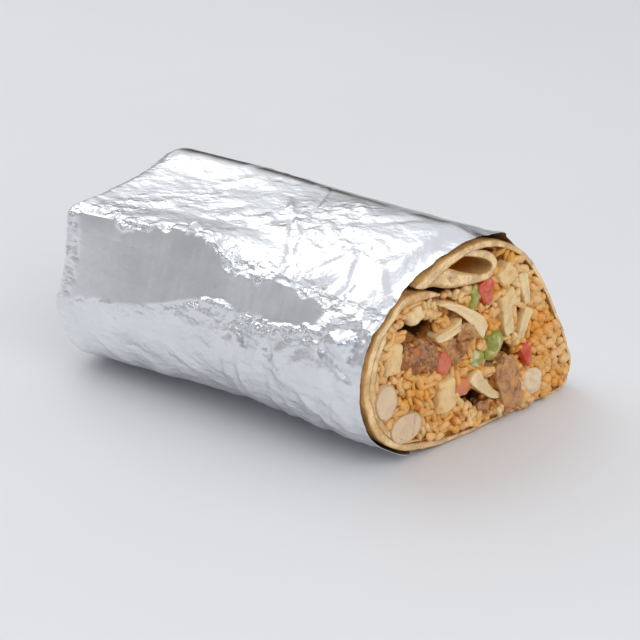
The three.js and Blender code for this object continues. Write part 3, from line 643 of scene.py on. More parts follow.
def foil_relief(points, around, sizes):
    """Height of the crumpled foil over its smooth skin, and how crushed it is finely."""
    x = points[..., 0]
    dents, creases, wrinkles = (size / MM for size in (sizes.dents, sizes.creases, sizes.wrinkles))
    along_x = points * np.array([1, 0, 0])
    torn = 0.6 * soft_noise(along_x, 3.4, 91) + 0.4 * facets(along_x, 2.2, 92) * 2
    shoulder = np.interp(x, *SHOULDER.T) + 0.0055 * torn
    underfold = np.interp(x, *UNDERFOLD.T) + 0.0028 * soft_noise(along_x, 2.7, 93)
    inside = rise(around, underfold - .002, underfold + .003)
    inside *= 1 - rise(around, shoulder - .003, shoulder + .002)
    calm = inside * smooth_band(x + 1.2 * soft_noise(points, 3, 95))
    corner = (1 - rise(x, -57, -52)) * round_zone(around, .20, .385, .02)
    over = (around - shoulder) * FOIL_LENGTH_ROUND
    under = (underfold - around) * FOIL_LENGTH_ROUND
    rim = hill(np.maximum(over, 0), 4) * (over > 0) + 0.8 * hill(np.maximum(under, 0), 3) * (under > 0)
    rim *= (1 - calm) * (1 - 0.6 * rise(x, 30, 36))
    top = round_zone(around, .385, .60)
    ridge = hill((around - np.interp(x, *RIDGE.T)) * FOIL_LENGTH_ROUND + 2, 4.5)
    easy = rise(x, 12, 18) * (1 - rise(x, 43, 48)) * round_zone(around, .352, .395, .008)
    busy = rise(soft_noise(points * np.array([.6, 1, 1]), 9, 94), 0.15, 0.55) * top
    low = round_zone(around, .05, .27, .03)
    patch_foot = np.interp(x, *PATCH_FOOT.T)
    patch_head = np.interp(x, *PATCH_HEAD.T)
    patch = rise(around, patch_foot - .006, patch_foot + .004)
    patch *= 1 - rise(around, patch_head - .004, patch_head + .004)
    patch *= rise(x, 26, 29)
    grain = rise(x, 2, 8) * (1 - rise(x, 30, 36))
    grain *= hill((around - underfold + .008) * FOIL_LENGTH_ROUND, 2.6)
    warped = points + 1.2 * soft_shift(points, 7, 40)
    slanted = warped @ np.array([[1, .35, .2], [-.5, 1, .1], [0, .3, 1]]) * np.array([0.42, 1, 1])
    steep = warped @ np.array([[1, 0, 0], [-.35, .2, 0], [-.35, 0, .2]])
    relief = dents * facets(warped, 17, 3) * (1.3 - 0.9 * top - 0.5 * low)
    relief += creases * facets(slanted, 7, 9) * (1.3 - 0.85 * top - 0.7 * low)
    relief += wrinkles * facets(slanted, 3.1, 15) * (0.8 - 0.55 * top - 0.5 * low + 1.2 * rim + 0.3 * busy)
    relief += creases * 1.1 * facets(warped, 5.0, 97) * busy
    relief += creases * 1.2 * facets(steep, 4.4, 19) * low * (0.3 + rise(x, -14, 6))
    relief += wrinkles * 2.4 * facets(warped * np.array([1, .5, .5]), 2.6, 21) * rim
    relief *= 1 - patch
    crushed = 3.4 * facets(warped * np.array([.9, 1, 1]), 7.6, 27) * patch
    crushed += 0.7 * facets(warped, 3.4, 33) * patch
    relief += crushed
    relief += 0.55 * facets(warped * np.array([.8, .5, .8]), 4.2, 96) * corner
    relief += 0.24 * facets(points, 1.7, 37) * grain
    relief *= (1 - calm) * (1 - 0.75 * ridge) * (1 - 0.35 * easy)
    relief += 0.04 * soft_noise(points * np.array([3, .3, .3]), 3, 50) * calm
    relief += 0.22 * facets(warped * np.array([.4, 1, 1]), 16, 52) * calm
    crush = 0.75 + 0.6 * rim - 0.45 * top + 0.35 * busy - 0.3 * low - 0.45 * patch + 0.4 * grain
    crush *= (1 - 0.92 * calm) * (1 - 0.45 * easy) * (1 - 0.6 * ridge)
    return relief + crease_relief(x, around) * (1 - 0.75 * calm), crush


def seam_relief(points, around):
    """The sheet's free edge, folded over into a lip along the top that drops off behind."""
    x = points[..., 0]
    along_x = points * np.array([1, 0, 0])
    line = np.interp(x, *RIDGE.T) + 0.0016 * soft_noise(along_x, 11, 61)
    away = (around - line) * FOIL_LENGTH_ROUND
    lip = np.interp(away, [-34, -9, -2.6, 0, 0.8], [0, 0.8, 0.75, 0.35, 0])
    return lip * (1 + 0.2 * soft_noise(along_x, 9, 62)) * rise(x, -60, -54)


def painted_fold_shade(points, around):
    """Where the free edge's fold is painted dark, with painted shade and a painted reflection of what lies
    behind it, from 0 to 1.
    """
    x = points[..., 0]
    along_x = points * np.array([1, 0, 0])
    away = (around - np.interp(x, *RIDGE.T)) * FOIL_LENGTH_ROUND
    patchy = rise(soft_noise(along_x, 5, 64) + 0.5 * soft_noise(points, 1.6, 65), -0.9, 0.1)
    return hill(away + 1.1 + 0.6 * soft_noise(along_x, 6, 63), 1.9) * patchy * rise(x, -60, -54)


def settled(points):
    """Lays what is low flat on the surface below."""
    low = rise(points[..., 2], 0.25, 1.6)
    points[..., 2] = np.maximum(points[..., 2], 0) * low
    return points


def grid_normals(points):
    """Outward directions of a grid of points, rows along the burrito and columns round it."""
    down = np.gradient(points, axis=0)
    wrapped = np.concatenate([points[:, -2:-1], points, points[:, 1:2]], axis=1)
    across = wrapped[:, 2:] - wrapped[:, :-2]
    normals = np.cross(down, across)
    size = np.linalg.norm(normals, axis=-1, keepdims=True)
    normals = normals / np.maximum(size, 1e-9)
    middle = np.array([0, AXIS[0], AXIS[1]])
    body = points[:, :, 0] > -50
    facing = (normals * (points - middle)).sum(axis=-1)
    if np.median(facing[body]) < 0:
        normals = -normals
    return normals


def foil_recess(points):
    """How far the foil's torn edge stops short of the cut."""
    far = rise(points[:, 1], 9, 18)
    edge = np.column_stack([np.zeros(len(points)), points[:, 1:]])
    ragged = 0.35 * (1 + soft_noise(edge, 3.1, 71)) + 0.25 * facets(edge, 1.8, 72)
    corner = 1.6 * hill(np.hypot(points[:, 1] + 27, points[:, 2] - 2.5), 4)
    under = (1 - rise(points[:, 2], 2, 7)) * rise(points[:, 1], -24, -18)
    return 0.35 + 2.6 * far + 2.9 * under * (1 - far) + ragged - corner


def foil_distance(x, points, sizes, cut):
    """How far the smooth skin of the foil stands off the tortilla."""
    off_floor = rise(points[:, 1], 1.3, 9)
    tight = rise(x, cut - 9, cut - 1.5)
    loose = sizes.stand_off / MM * off_floor + BASE_Z * (1 - off_floor)
    near = sizes.rim_stand_off / MM * off_floor + BASE_Z * (1 - off_floor)
    lifted = 1.5 * hill(points[:, 0] - 12, 5.5) * (points[:, 1] > AXIS[1]) * rise(x, cut - 8, cut)
    return loose * (1 - tight) + near * tight + lifted


def flatten_band(row, around, x_mean):
    """Draws the near side of one section flat between the underfold and the shoulder."""
    part = float(1 - rise(x_mean, 20, 38))
    low = float(np.interp(x_mean, *BAND_FOOT.T))
    high = float(np.interp(x_mean, *BAND_TOP.T))
    foot, top = (float(np.interp(x_mean, BAND_LEAN[:, 0], BAND_LEAN[:, n])) for n in (1, 2))
    lean = np.interp(around, [low - .06, low, high, high + .05], [0, foot, top, 0])
    outwards = outline_direction(row)
    row[:, 1:] += outwards * (lean * part)[:, None]
    ends = [np.array([np.interp(edge, around, row[:, n]) for n in (1, 2)]) for edge in (low, high)]
    share = np.clip((around - low) / (high - low), 0, 1)
    chord = ends[0] + (ends[1] - ends[0]) * share[:, None]
    inside = ((around > low) & (around < high))[:, None] * part * 0.9
    row[:, 1:] = row[:, 1:] * (1 - inside) + chord * inside
    return row


def outline_direction(row):
    """Outward directions of one closed section."""
    ahead = np.roll(row[:-1, 1:], -1, axis=0) - np.roll(row[:-1, 1:], 1, axis=0)
    outwards = outwards_at(row[:-1, 1:], ahead)
    return np.vstack([outwards, outwards[:1]])


# How far the folded end stands out at heights [z, out]: the low flap was folded up last.
END_PROFILE = np.array([[0, 2.9], [21, 1.7], [25, 1.2], [26.5, -0.3], [36, -0.8], [47, 0.1]])


def end_relief(points, around):
    """Pleats and tucked-in flaps of the folded end, measured out of its flat."""
    y = points[..., 1]
    z = points[..., 2]
    edge_waver = 1.2 * soft_noise(points, 9, 82)
    folded = np.interp(z + edge_waver, *END_PROFILE.T)
    reach = np.hypot(y - END_MIDDLE[0], z - END_MIDDLE[1])
    pleats = np.abs(((around * 7 + 0.06 * soft_noise(points, 8, 81)) % 1) - 0.5) * 2
    side = 0.8 * rise(y, 12, 13) * (1 - rise(z, 24, 26))
    upright = facets(points * np.array([1, 1, .3]), 3.0, 85)
    crushed = 0.9 * facets(points, 8, 83) + 0.35 * facets(points, 3.2, 84) + 0.5 * upright * rise(z, 24, 27)
    return folded + side + 0.35 * pleats * rise(reach, 4, 14) + crushed


def foil_grid(body, sizes):
    """The outside of the foil as a grid, rows from the middle of the folded end to the rim, with
    its outward directions, how crushed it is and where its free edge is painted dark with shade."""
    around = spread_round(sizes.columns, foil_weight)
    stations = 1 - (1 - np.linspace(0, 1, sizes.rows)) ** 1.04
    rows = []
    for station in stations:
        points, _ = outline(station, around)
        x_flat = body.end * (1 - station) + body.cut_x(points[:, 0]) * station
        distance = foil_distance(x_flat, points, sizes, body.cut_x(points[:, 0]))
        row = body.ring(station, around, distance, foil_recess(np.column_stack([x_flat, points])))
        rows.append(flatten_band(row, around, row[:, 0].mean()))
    rows = np.array(rows)
    end = body.end_rings(rows[0], body.foil_end + 0.2, 12, 34)[::-1]
    grid = np.concatenate([end, rows])
    turn = np.broadcast_to(around, grid.shape[:2])
    normals = grid_normals(grid)
    on_body = rise(grid[..., 0], body.foil_end + 1.0, body.end + 3)
    off_floor = rise(grid[..., 2], 0.6, 6.5)
    near_rim = rise(grid[..., 0], body.cut_x(grid[..., 1]) - 9, body.cut_x(grid[..., 1]) - 2)
    relief, crush = foil_relief(grid, turn, sizes)
    relief *= 1 - 0.3 * near_rim
    relief = np.maximum(relief, -1.5 + 1.05 * near_rim)
    relief += seam_relief(grid, turn) * (1 - 0.5 * near_rim)
    relief *= off_floor * on_body
    moved = grid + normals * relief[..., None]
    folded = end_relief(grid, turn) * (1 - on_body)
    moved[..., 0] -= np.clip(folded, -0.7, 2.9)
    moved[0] = moved[0].mean(axis=0)
    return settled(moved), normals, crush, painted_fold_shade(grid, turn)


def foil_weight(around):
    """Fine facets on the near side and top, coarse ones underneath."""
    under = 1 - rise(around, .08, .14) + rise(around, .80, .90)
    seen = rise(around, .12, .18) * (1 - rise(around, .60, .66))
    return 0.75 - 0.45 * under + 0.4 * seen


def foil_inside(body, outer, normals, sizes):
    """The inside of the foil, from the rim back to the middle of the folded end."""
    rows = []
    for back, gap in RIM_TURN:
        rows.append(outer[-1 - back] - normals[-1 - back] * (sizes.sheet / MM * gap))
    rows[0] = rows[0] + np.array([0.05, 0, 0])
    for back in range(26, sizes.rows, 12):
        rows.append(outer[-1 - back] - normals[-1 - back] * INSIDE_GAP)
    end = body.end_rings(rows[-1], body.foil_end + 1.1, 3, 3)
    return np.concatenate([np.array(rows), end])


def foil_finish(colours):
    """Bare aluminium foil with creases, fine rolling lines and scuffs, and painted shade along the fold of
    its free edge.
    """
    finish = Finish("aluminium_foil", Metallic=1.0)
    crush = finish.value("crush")
    scuffs = finish.noise(7, detail=4, roughness=0.6, distortion=0.4)
    lines = finish.noise(0.4, detail=2, place=finish.stretched((1, 0.1, 0.1)))
    dull = finish.spread(scuffs, 0.3, 0.7, 0.27, 0.38)
    finish.set("Roughness", finish.maths("SUBTRACT", dull, finish.spread(crush, 0.9, 1.6, 0, 0.12)))
    bright = finish.shades(scuffs, 0.35, 0.75, colours.foil, 1, 0.94)
    # The free edge's fold is painted dark: painted shade and a painted reflection of what lies behind it.
    finish.set("Base Color", finish.mix(finish.value("edge"), bright, PAINTED_FOLD_SHADE))
    broad = finish.maths("MULTIPLY", finish.crumple(3.0, (0.55, 1, 1)), crush)
    middle = finish.maths("MULTIPLY", finish.crumple(1.5, (0.8, 1, 1)), crush)
    fine = finish.maths("MULTIPLY", finish.crumple(0.75), crush)
    normal = finish.bump(broad, 0.42)
    normal = finish.bump(middle, 0.20, after=normal)
    normal = finish.bump(fine, 0.07, after=normal)
    finish.set("Normal", finish.bump(lines, 0.010, 0.6, after=normal))
    return finish.material


class BURRITO_OT_foil(bpy.types.Operator):
    """Wraps the burrito in crumpled foil, open at the cut and folded in at the other end."""

    bl_idname = "burrito.foil"
    bl_label = "Foil"

    def execute(self, context):
        sizes = context.scene.burrito_foil
        body = Body()
        outer, normals, crush, edge = foil_grid(body, sizes)
        inner = foil_inside(body, outer, normals, sizes)
        # The edge values say where the free edge's fold gets painted shade.
        values = {
            "crush": np.concatenate([crush, np.full(inner.shape[:2], 0.4)]),
            "edge": np.concatenate([edge, np.zeros(inner.shape[:2])]),
        }
        mesh = sheet_mesh("foil_wrap", np.concatenate([outer, inner]), values)
        mesh.set_sharp_from_angle(angle=SHARP_FOLD)
        piece = link_piece("foil_wrap", mesh)
        piece.data.materials.append(foil_finish(context.scene.burrito_colours))
        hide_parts("foil")
        return {"FINISHED"}


# ---- Tortilla ------------------------------------------------------------

# Middle line of the sheet where it is turned in along the top, [y, z, thickness].
INNER_TIP = [(-12.3, 45.2, 0.4), (-16.2, 46.4, 1.8), (-20.0, 47.4, 2.9)]
LOOP = [
    (-17.0, 50.0, 2.8), (-13.2, 50.0, 5.0), (-9.4, 49.1, 5.4), (-5.2, 47.7, 4.3), (-0.8, 46.5, 3.0),
    (3.4, 45.7, 2.3), (6.6, 46.0, 2.2), (8.2, 47.8, 2.2), (7.6, 50.0, 2.3), (5.4, 51.7, 2.3),
    (2.2, 53.0, 2.2), (-1.2, 54.0, 2.0), (-5.0, 54.6, 1.4),
]
SKIN_ROUNDING = 0.28           # rounding of the sheet's cut edges
WALL_POINTS = 900              # points along the middle line of the wall
LAYER_POINTS = 240             # points along that of the inner layer
LINE_STEP = 0.34               # distance between points of the drawn lines
TIP_OVERLAP = 6                # points of the wall that its turned-in tip takes the place of
# The cut edge from one skin to the other: [part of the half thickness, parts of the rounding].
CUT_EDGE = (
    (1.0, 1.0), (1.0, 0.45), (0.94, 0.1), (0.8, 0), (0.5, 0), (0.2, 0),
    (-0.2, 0), (-0.5, 0), (-0.8, 0), (-0.94, 0.1), (-1.0, 0.45), (-1.0, 1.0),
)


def wall_line(tortilla):
    """The sheet from the near shoulder under the burrito and over its top: part round and thickness."""
    thin, layer = tortilla.thin / MM, tortilla.layer / MM
    return [
        (.380, layer * 1.2), (.33, layer), (.27, layer), (.20, layer), (.14, layer * .85),
        (.08, thin * .85), (.04, thin * .65), (0, thin * .5), (-.1, thin * .45), (-.2, thin * .5),
        (-.3, thin * .6), (-.4, thin * .8), (-.45, thin * 1.05), (-.5, thin * 1.3),
        (-.52, thin * 1.35), (-.54, 2.8), (-.56, 3.8), (-.58, 4.2), (-.594, 2.8), (-.602, 0.5),
    ]


def overhang(around):
    """Where the rice swells over the wall's edge and hides it, from 0 to 1."""
    turn = np.mod(around, 1.0)
    return rise(turn, .60, .68) * (1 - rise(turn, .93, .985))


def sheet_from_wall(table, count):
    """Middle line and thickness of a layer that follows the outline from inside."""
    parts = np.array(table)
    run = np.linspace(0, 1, count)
    places = np.linspace(0, 1, len(parts))
    fractions = np.interp(run, places, parts[:, 0])
    thickness = np.interp(run, places, parts[:, 1])
    inset = thickness / 2 if parts.shape[1] == 2 else np.interp(run, places, parts[:, 2])
    points, outwards = outline(1.0, fractions)
    return np.column_stack([points - outwards * inset[:, None], thickness])


def open_curve(knots, steps=12):
    """A smooth open curve through knots of any number of values."""
    knots = np.asarray(knots, float)
    padded = np.vstack([2 * knots[0] - knots[1], knots, 2 * knots[-1] - knots[-2]])
    part = np.linspace(0, 1, steps, endpoint=False)[:, None]
    pieces = []
    for n in range(1, len(padded) - 2):
        p0, p1, p2, p3 = padded[n - 1:n + 3]
        pieces.append(
            0.5 * (2 * p1 + (p2 - p0) * part + (2 * p0 - 5 * p1 + 4 * p2 - p3) * part ** 2
                   + (3 * p1 - p0 - 3 * p2 + p3) * part ** 3)
        )
    return np.vstack([*pieces, knots[-1:]])


def evenly(line, step):
    """The same line with points a step apart, measured in the section."""
    run = run_lengths(line[:, :2])
    places = np.linspace(0, run[-1], max(8, int(run[-1] / step)))
    return np.stack([np.interp(places, run, line[:, n]) for n in range(line.shape[1])], axis=-1)


def radius_table(station):
    """Distance from the axis to the outline at angles round it."""
    points, _ = outline(station, ALL_ROUND)
    return polar_table(points)


def warped_to(points, station, cut_table):
    """Section points of the cut, moved in proportion to the section at a station."""
    offset = points - AXIS
    angle = np.arctan2(offset[..., 1], offset[..., 0])
    here = radius_table(station)
    ratio = (np.interp(angle, *here, period=2 * math.pi)
             / np.interp(angle, *cut_table, period=2 * math.pi))
    return AXIS + offset * ratio[..., None]


def ribbon(body, line, depths, droop, recess):
    """A grid round a layer of the sheet: across its cut edge, back along one skin to the
    last depth and forward along the other. Also gives what each point is: 1 is crumb, 0 skin
    and -1 skin deep inside, which is painted with warm shade."""
    tangent = np.gradient(line[:, :2], axis=0)
    tangent /= np.linalg.norm(tangent, axis=1)[:, None]
    side = np.stack([-tangent[:, 1], tangent[:, 0]], axis=-1)
    half = line[:, 2] / 2
    edge = np.minimum(SKIN_ROUNDING, half)
    cut_table = radius_table(1.0)
    columns, crumb = [], []

    def add(share, depth, rounding, value):
        station = (body.cut - depth - body.end) / (body.cut - body.end)
        flat = line[:, :2] + side * (half * share)[:, None]
        placed = warped_to(flat, station, cut_table)
        placed = AXIS + (placed - AXIS) * (1 - 0.045 * rise(depth, 2, 18))
        placed[:, 1] -= droop * (1 - rise(placed[:, 1], 1.4, 5)) * (1 - rise(depth, 0.5, 4))
        back = depth + rounding * edge + recess
        x = body.end * (1 - station) + body.cut_x(placed[:, 0]) * station
        x = np.where(station >= 0.999, body.cut_x(placed[:, 0]) - back, x - rounding * edge - recess)
        columns.append(np.column_stack([x, placed]))
        crumb.append(np.full(len(line), value))

    for share, rounding in CUT_EDGE:
        add(share, 0.0, rounding, 1 - rise(abs(share), 0.55, 0.97))
    # Skin further behind the cut is marked below 0, where painted warm shade goes.
    for depth in depths:
        add(-1.0, depth, 0.0, -rise(depth, 1.5, 9))
    for depth in depths[::-1]:
        add(1.0, depth, 0.0, -rise(depth, 1.5, 9))
    columns.append(columns[0])
    crumb.append(crumb[0])
    return np.array(columns).transpose(1, 0, 2), np.array(crumb).T


def sheet_wobble(grid, amount, seed):
    """Unevenness of a soft, torn sheet, most of it at its cut edge."""
    moved = grid.copy()
    for axis in range(3):
        moved[..., axis] += amount * 0.6 * soft_noise(grid, 6.5, seed + axis)
        moved[..., axis] += amount * 0.35 * rough_noise(grid, 2.2, seed + 10 + axis, 2)
    return moved


def tortilla_layers(tortilla):
    """The three layers of the sheet that show, wall, inner layer and turned-in loop: the middle
    line of each, the depths it is drawn at and how far its edge lies behind the cut."""
    wall = sheet_from_wall(wall_line(tortilla), WALL_POINTS)
    tip = open_curve(INNER_TIP)
    run = np.linspace(0, 1, WALL_POINTS)
    back = 0.35 * overhang(np.interp(run, *numbered(wall_line(tortilla))))
    main = np.vstack([
        np.column_stack([tip, np.zeros(len(tip))]),
        np.column_stack([wall, back])[TIP_OVERLAP:],
    ])
    main = evenly(main, LINE_STEP)
    main[:, :3] = smoothed(main[:, :3], 9, 9)
    inner = tortilla.inner_layer / MM
    layer = tortilla.layer / MM
    second = sheet_from_wall([
        (.335, .3, layer + .3), (.325, inner, layer + inner / 2), (.28, inner * 1.1, layer + inner / 2),
        (.22, inner, layer + inner / 2), (.17, inner * .7, layer + .6), (.12, .8, layer + .2),
        (.10, .2, layer),
    ], LAYER_POINTS)
    loop = evenly(open_curve(LOOP), LINE_STEP)
    hidden = np.interp(np.linspace(0, 1, len(loop)), [0, .12, .22, .86, .95, 1], [.8, .5, 0, 0, .5, .8])
    deep = [0.5, 1, 1.6, 2.4, 3.4, 4.6, 6.5, 9, 13, 19, 28, 40, 56, 72, 88, 102, 110]
    return [
        (main[:, :3], deep, main[:, 3]),
        (second, [0.5, 1.2, 2.2, 4, 8, 20, 45], np.full(len(second), 0.12)),
        (loop, [0.5, 1, 1.7, 2.5, 3.5, 4.7, 6.2, 8, 10, 13, 17, 22, 28, 36], hidden + 0.1),
    ]


def numbered(table):
    """Even places from 0 to 1 and the first values of a table's rows."""
    return np.linspace(0, 1, len(table)), [row[0] for row in table]


def smoothed(line, width, kept):
    """Evens out a line's values, except at its first and last points."""
    padded = np.vstack([line[:1]] * (width // 2) + [line] + [line[-1:]] * (width // 2))
    weights = np.ones(width) / width
    result = np.stack([np.convolve(padded[:, n], weights, "valid") for n in range(line.shape[1])], axis=-1)
    result[:kept] = line[:kept]
    return result


def end_cap(body, tortilla):
    """The folded-in end of the tortilla, a closed plate inside the foil."""
    around = np.linspace(0, 1, 97)
    inset = 1.7
    start = body.ring(0.0, around, -inset)
    outer = body.end_rings(start, body.tortilla_end, 5, 5)[::-1]
    inner_start = body.ring(0.0, around, -inset - tortilla.thin / MM)
    inner = body.end_rings(inner_start, body.tortilla_end + 2.5, 5, 5)
    return np.concatenate([outer, start[None], inner_start[None], inner])


def tortilla_finish(colours):
    """A soft floury flatbread with griddle spots, paler where it is cut, with painted warm shade on its
    skin deep inside.
    """
    finish = Finish(
        "wheat_tortilla", Roughness=0.55, Subsurface_Weight=0.2, Subsurface_Scale=0.0012,
        Subsurface_Radius=(1.0, 0.6, 0.35), Specular_IOR_Level=0.4, Coat_Weight=0.08,
    )
    crumb = finish.value("crumb")
    mottled = finish.noise(4.2, detail=4, roughness=0.6)
    fine = finish.noise(0.9, detail=4, roughness=0.65)
    broad = finish.noise(9, detail=2)
    skin = finish.shades(mottled, 0.35, 0.7, colours.tortilla, 0.8, 1.2)
    inside = finish.shades(mottled, 0.42, 0.56, colours.crumb, 0.86, 1.3)
    inside = finish.stain(fine, 0.52, 0.66, 0.55, inside, tinted(colours.tortilla, 1.1))
    inside = finish.stain(broad, 0.5, 0.62, 0.5, inside, SOAKED_CRUMB)
    waver = finish.maths("ADD", crumb, finish.spread(fine, 0.3, 0.7, -0.4, 0.4))
    both = finish.stain(waver, 0.2, 0.8, 1, skin, inside)
    spots = finish.noise(3.4, detail=2, distortion=0.6)
    toasted = finish.stain(spots, 0.64, 0.74, 0.5, both, colours.scorch)
    pores = finish.cells(5.2)
    speckled = finish.stain(pores, 0.075, 0.04, 0.8, toasted, tinted(colours.scorch, 0.35))
    # Skin deep behind the cut is painted dark orange: painted warm shade.
    finish.set("Base Color", finish.stain(crumb, -0.25, -1.0, 1, speckled, PAINTED_DEEP_SHADE))
    crust = finish.bump(finish.noise(1.5, detail=4), 0.4, 0.6)
    finish.set("Normal", finish.bump(finish.noise(0.5, detail=3), 0.16, 0.5, after=crust))
    return finish.material


class BURRITO_OT_tortilla(bpy.types.Operator):
    """Rolls the tortilla: one wall, doubled on the near side, with its edge turned in on top."""

    bl_idname = "burrito.tortilla"
    bl_label = "Tortilla"

    def execute(self, context):
        tortilla = context.scene.burrito_tortilla
        body = Body()
        whole = bmesh.new()
        whole.verts.layers.float.new("crumb")
        for number, (line, depths, recess) in enumerate(tortilla_layers(tortilla)):
            grid, crumb = ribbon(body, line, depths, tortilla.droop / MM, recess)
            grid[0] = grid[0].mean(axis=0) * 0.1 + grid[0] * 0.9
            grid = sheet_wobble(grid, tortilla.wobble / MM, 101)
            add_part(whole, sheet_mesh(f"layer_{number}", grid, {"crumb": crumb}))
        add_part(whole, sheet_mesh("layer_end", end_cap(body, tortilla)))
        mesh = bpy.data.meshes.new("tortilla_sheet")
        whole.to_mesh(mesh)
        whole.free()
        mesh.shade_smooth()
        piece = link_piece("tortilla_sheet", mesh)
        piece.data.materials.append(tortilla_finish(context.scene.burrito_colours))
        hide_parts("tortilla")
        return {"FINISHED"}


def add_part(whole, mesh):
    """Adds a mesh to a bmesh, closes its open ends and removes it."""
    part = bmesh.new()
    part.from_mesh(mesh)
    bpy.data.meshes.remove(mesh)
    open_edges = [edge for edge in part.edges if edge.is_boundary]
    if open_edges:
        bmesh.ops.holes_fill(part, edges=open_edges)
        bmesh.ops.recalc_face_normals(part, faces=part.faces[:])
    closed = bpy.data.meshes.new("closed_part")
    part.to_mesh(closed)
    part.free()
    whole.from_mesh(closed)
    bpy.data.meshes.remove(closed)


# ---- Rice ----------------------------------------------------------------

# Hollows between the pieces where the filling has fallen out: [y, z, radius, depth].
HOLLOWS = [
    [-20, 37.4, 3.8, 9], [-15.6, 36.6, 3.4, 9], [-24, 34.6, 2.6, 8], [-23, 38.4, 2.4, 7],
    [9.6, 19.8, 2.8, 7], [12.8, 19.4, 2.4, 7], [17.6, 16.0, 2.5, 8], [17.2, 19.8, 2.0, 7],
    [0.4, 11, 2.6, 7], [4.4, 9.0, 3.0, 8], [10.4, 14.4, 1.9, 7], [15.4, 21.2, 2.0, 6],
    [-32, 29, 1.4, 4], [-23.6, 16.7, 1.9, 5], [-31.0, 15.6, 1.7, 5], [19.2, 30.4, 1.6, 5],
    [11.4, 47.8, 2.2, 4], [-7.4, 21, 1.8, 5], [-14.8, 20.4, 1.7, 5], [5.6, 28.4, 1.5, 4],
]
MOUND = (-21.5, 21.4, 7, 2.6)  # the mound of rice beside the beans: y, z, radius, height
FOLD_EDGE = np.array([         # underside of the turned-in sheet, [y, z]
    [-34, 47], [-27, 47], [-21, 46], [-16, 45], [-12.2, 44.4], [-4, 45], [4, 44], [8.4, 44.8],
    [10.8, 50],
])
# Where the doubled stretch of wall starts, is full, begins to thin and ends, parts of the way
# round.
NEAR_WALL = (0.075, 0.155, 0.34, 0.37)
CORE_COLUMNS = 401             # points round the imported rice
CORE_RINGS = 130               # rings from the middle of its face to its rim
BEHIND_FOLD = 46               # how far back it ends above the turned-in sheet
FACE_WIDTH = (-38, 42)         # where loose grains are tried on the face, y
FACE_HEIGHT = (2, 54)          # and z
GRAIN_TRIES = 12000            # most places tried for each layer of them
GRAIN_LAYERS = ((0, 1.6, 0.2), (1, 2.1, 0.8))  # number, distance apart, distance from pieces
FAR_SIDE = (16, 30)            # y from which the rice is looser, and where that is full


def wall_inset(around, tortilla):
    """Distance from the outline in to the filling."""
    table = np.array(wall_line(tortilla))[::-1]
    turn = np.mod(around, 1.0)
    wall = np.interp(np.where(turn > .39, turn - 1, turn), *table.T)
    doubled = rise(turn, *NEAR_WALL[:2]) * (1 - rise(turn, *NEAR_WALL[2:]))
    return wall + 0.1 + doubled * tortilla.inner_layer / MM


def under_fold(y, z):
    """How far a point of the face lies above the turned-in sheet's underside, in mm."""
    return z - np.interp(y, *FOLD_EDGE.T, right=70)


def rice_level(y, z, sunk):
    """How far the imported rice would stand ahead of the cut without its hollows."""
    flat = np.stack([np.zeros_like(y), y, z], axis=-1)
    ahead = 0.9 * soft_noise(flat, 7, 201) + 0.5 * soft_noise(flat, 2.8, 202) - sunk
    ahead += MOUND[3] * hill(np.hypot(y - MOUND[0], z - MOUND[1]), MOUND[2])
    near_foot = (1 - rise(z, 3, 9)) * (1 - 0.5 * rise(y, 24, 36))
    return ahead + 0.5 * rise(y, 20, 33) * (1 - rise(y, 36, 41)) + 1.8 * near_foot


def rice_face(y, z, sunk):
    """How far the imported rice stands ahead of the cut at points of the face."""
    return rice_level(y, z, sunk) - hollow_depth(y, z)


def core_grid(body, tortilla, rice):
    """Packed rice through the whole burrito: rows from the middle of its face to its far end,
    and how deep each point lies: up to 1 is a gap between grains, painted with sauce and shade,
    and 2 is deep in one of the hollows or under the turned-in sheet, painted near black as shade."""
    around = np.linspace(0, 1, CORE_COLUMNS)
    inset = wall_inset(around, tortilla)
    over = overhang(around)
    rim, outwards = outline(1.0, around)
    rim = rim - outwards * (inset - 0.2)[:, None]
    rim[:, 1] -= tortilla.droop / MM * (1 - rise(rim[:, 1], 1.4, 5))
    rows, deep = [], []
    sunk = rice.sunk / MM
    for size in np.linspace(0, 1, CORE_RINGS):
        section = AXIS + (rim - AXIS) * size
        y, z = section.T
        ahead = rice_face(y, z, sunk)
        flat = np.stack([ahead * 0, y, z], axis=-1)
        warped = flat + 0.7 * soft_shift(flat, 2.4, 213)
        lumps = nearest_square(warped / np.array([1, 2.3, 2.0]), 211)
        ahead += 0.7 - 1.9 * np.minimum(lumps, 0.8) + 0.3 * soft_noise(flat, 0.9, 212)
        gap = rise(lumps, 0.12, 0.6)
        # Rice just under the turned-in sheet is painted near black: a painted shadow.
        fold = rise(under_fold(y, z), -1.6, 0.2)
        ahead -= BEHIND_FOLD * rise(under_fold(y, z), -0.2, 0.5)
        ahead -= (1.0 - 0.9 * over) * rise(size, 0.95, 1.0)
        rows.append(np.column_stack([body.cut_x(y) + ahead, y, z]))
        deep.append(np.maximum(gap, np.maximum(2 * fold, 2 * rise(hollow_depth(y, z), 0.8, 3.4))))
    rows.append(body.ring(1.0, around, -inset, 2.6 + 1.5 * (1 - over)))
    for station in (0.8, 0.6, 0.4, 0.2, 0.0):
        rows.append(body.ring(station, around, -inset - 1.6))
    end = body.end_rings(rows[-1], body.tortilla_end + 3, 4, 4)
    grid = np.concatenate([np.array(rows), end])
    values = np.zeros(grid.shape[:2])
    values[:len(deep)] = deep
    return grid, values


def in_outline(y, z, margin, around_table):
    """Whether points of the face lie inside the wall, by that margin."""
    angle = np.arctan2(z - AXIS[1], y - AXIS[0])
    reach = np.interp(angle, *around_table, period=2 * math.pi)
    return np.hypot(y - AXIS[0], z - AXIS[1]) < reach - margin


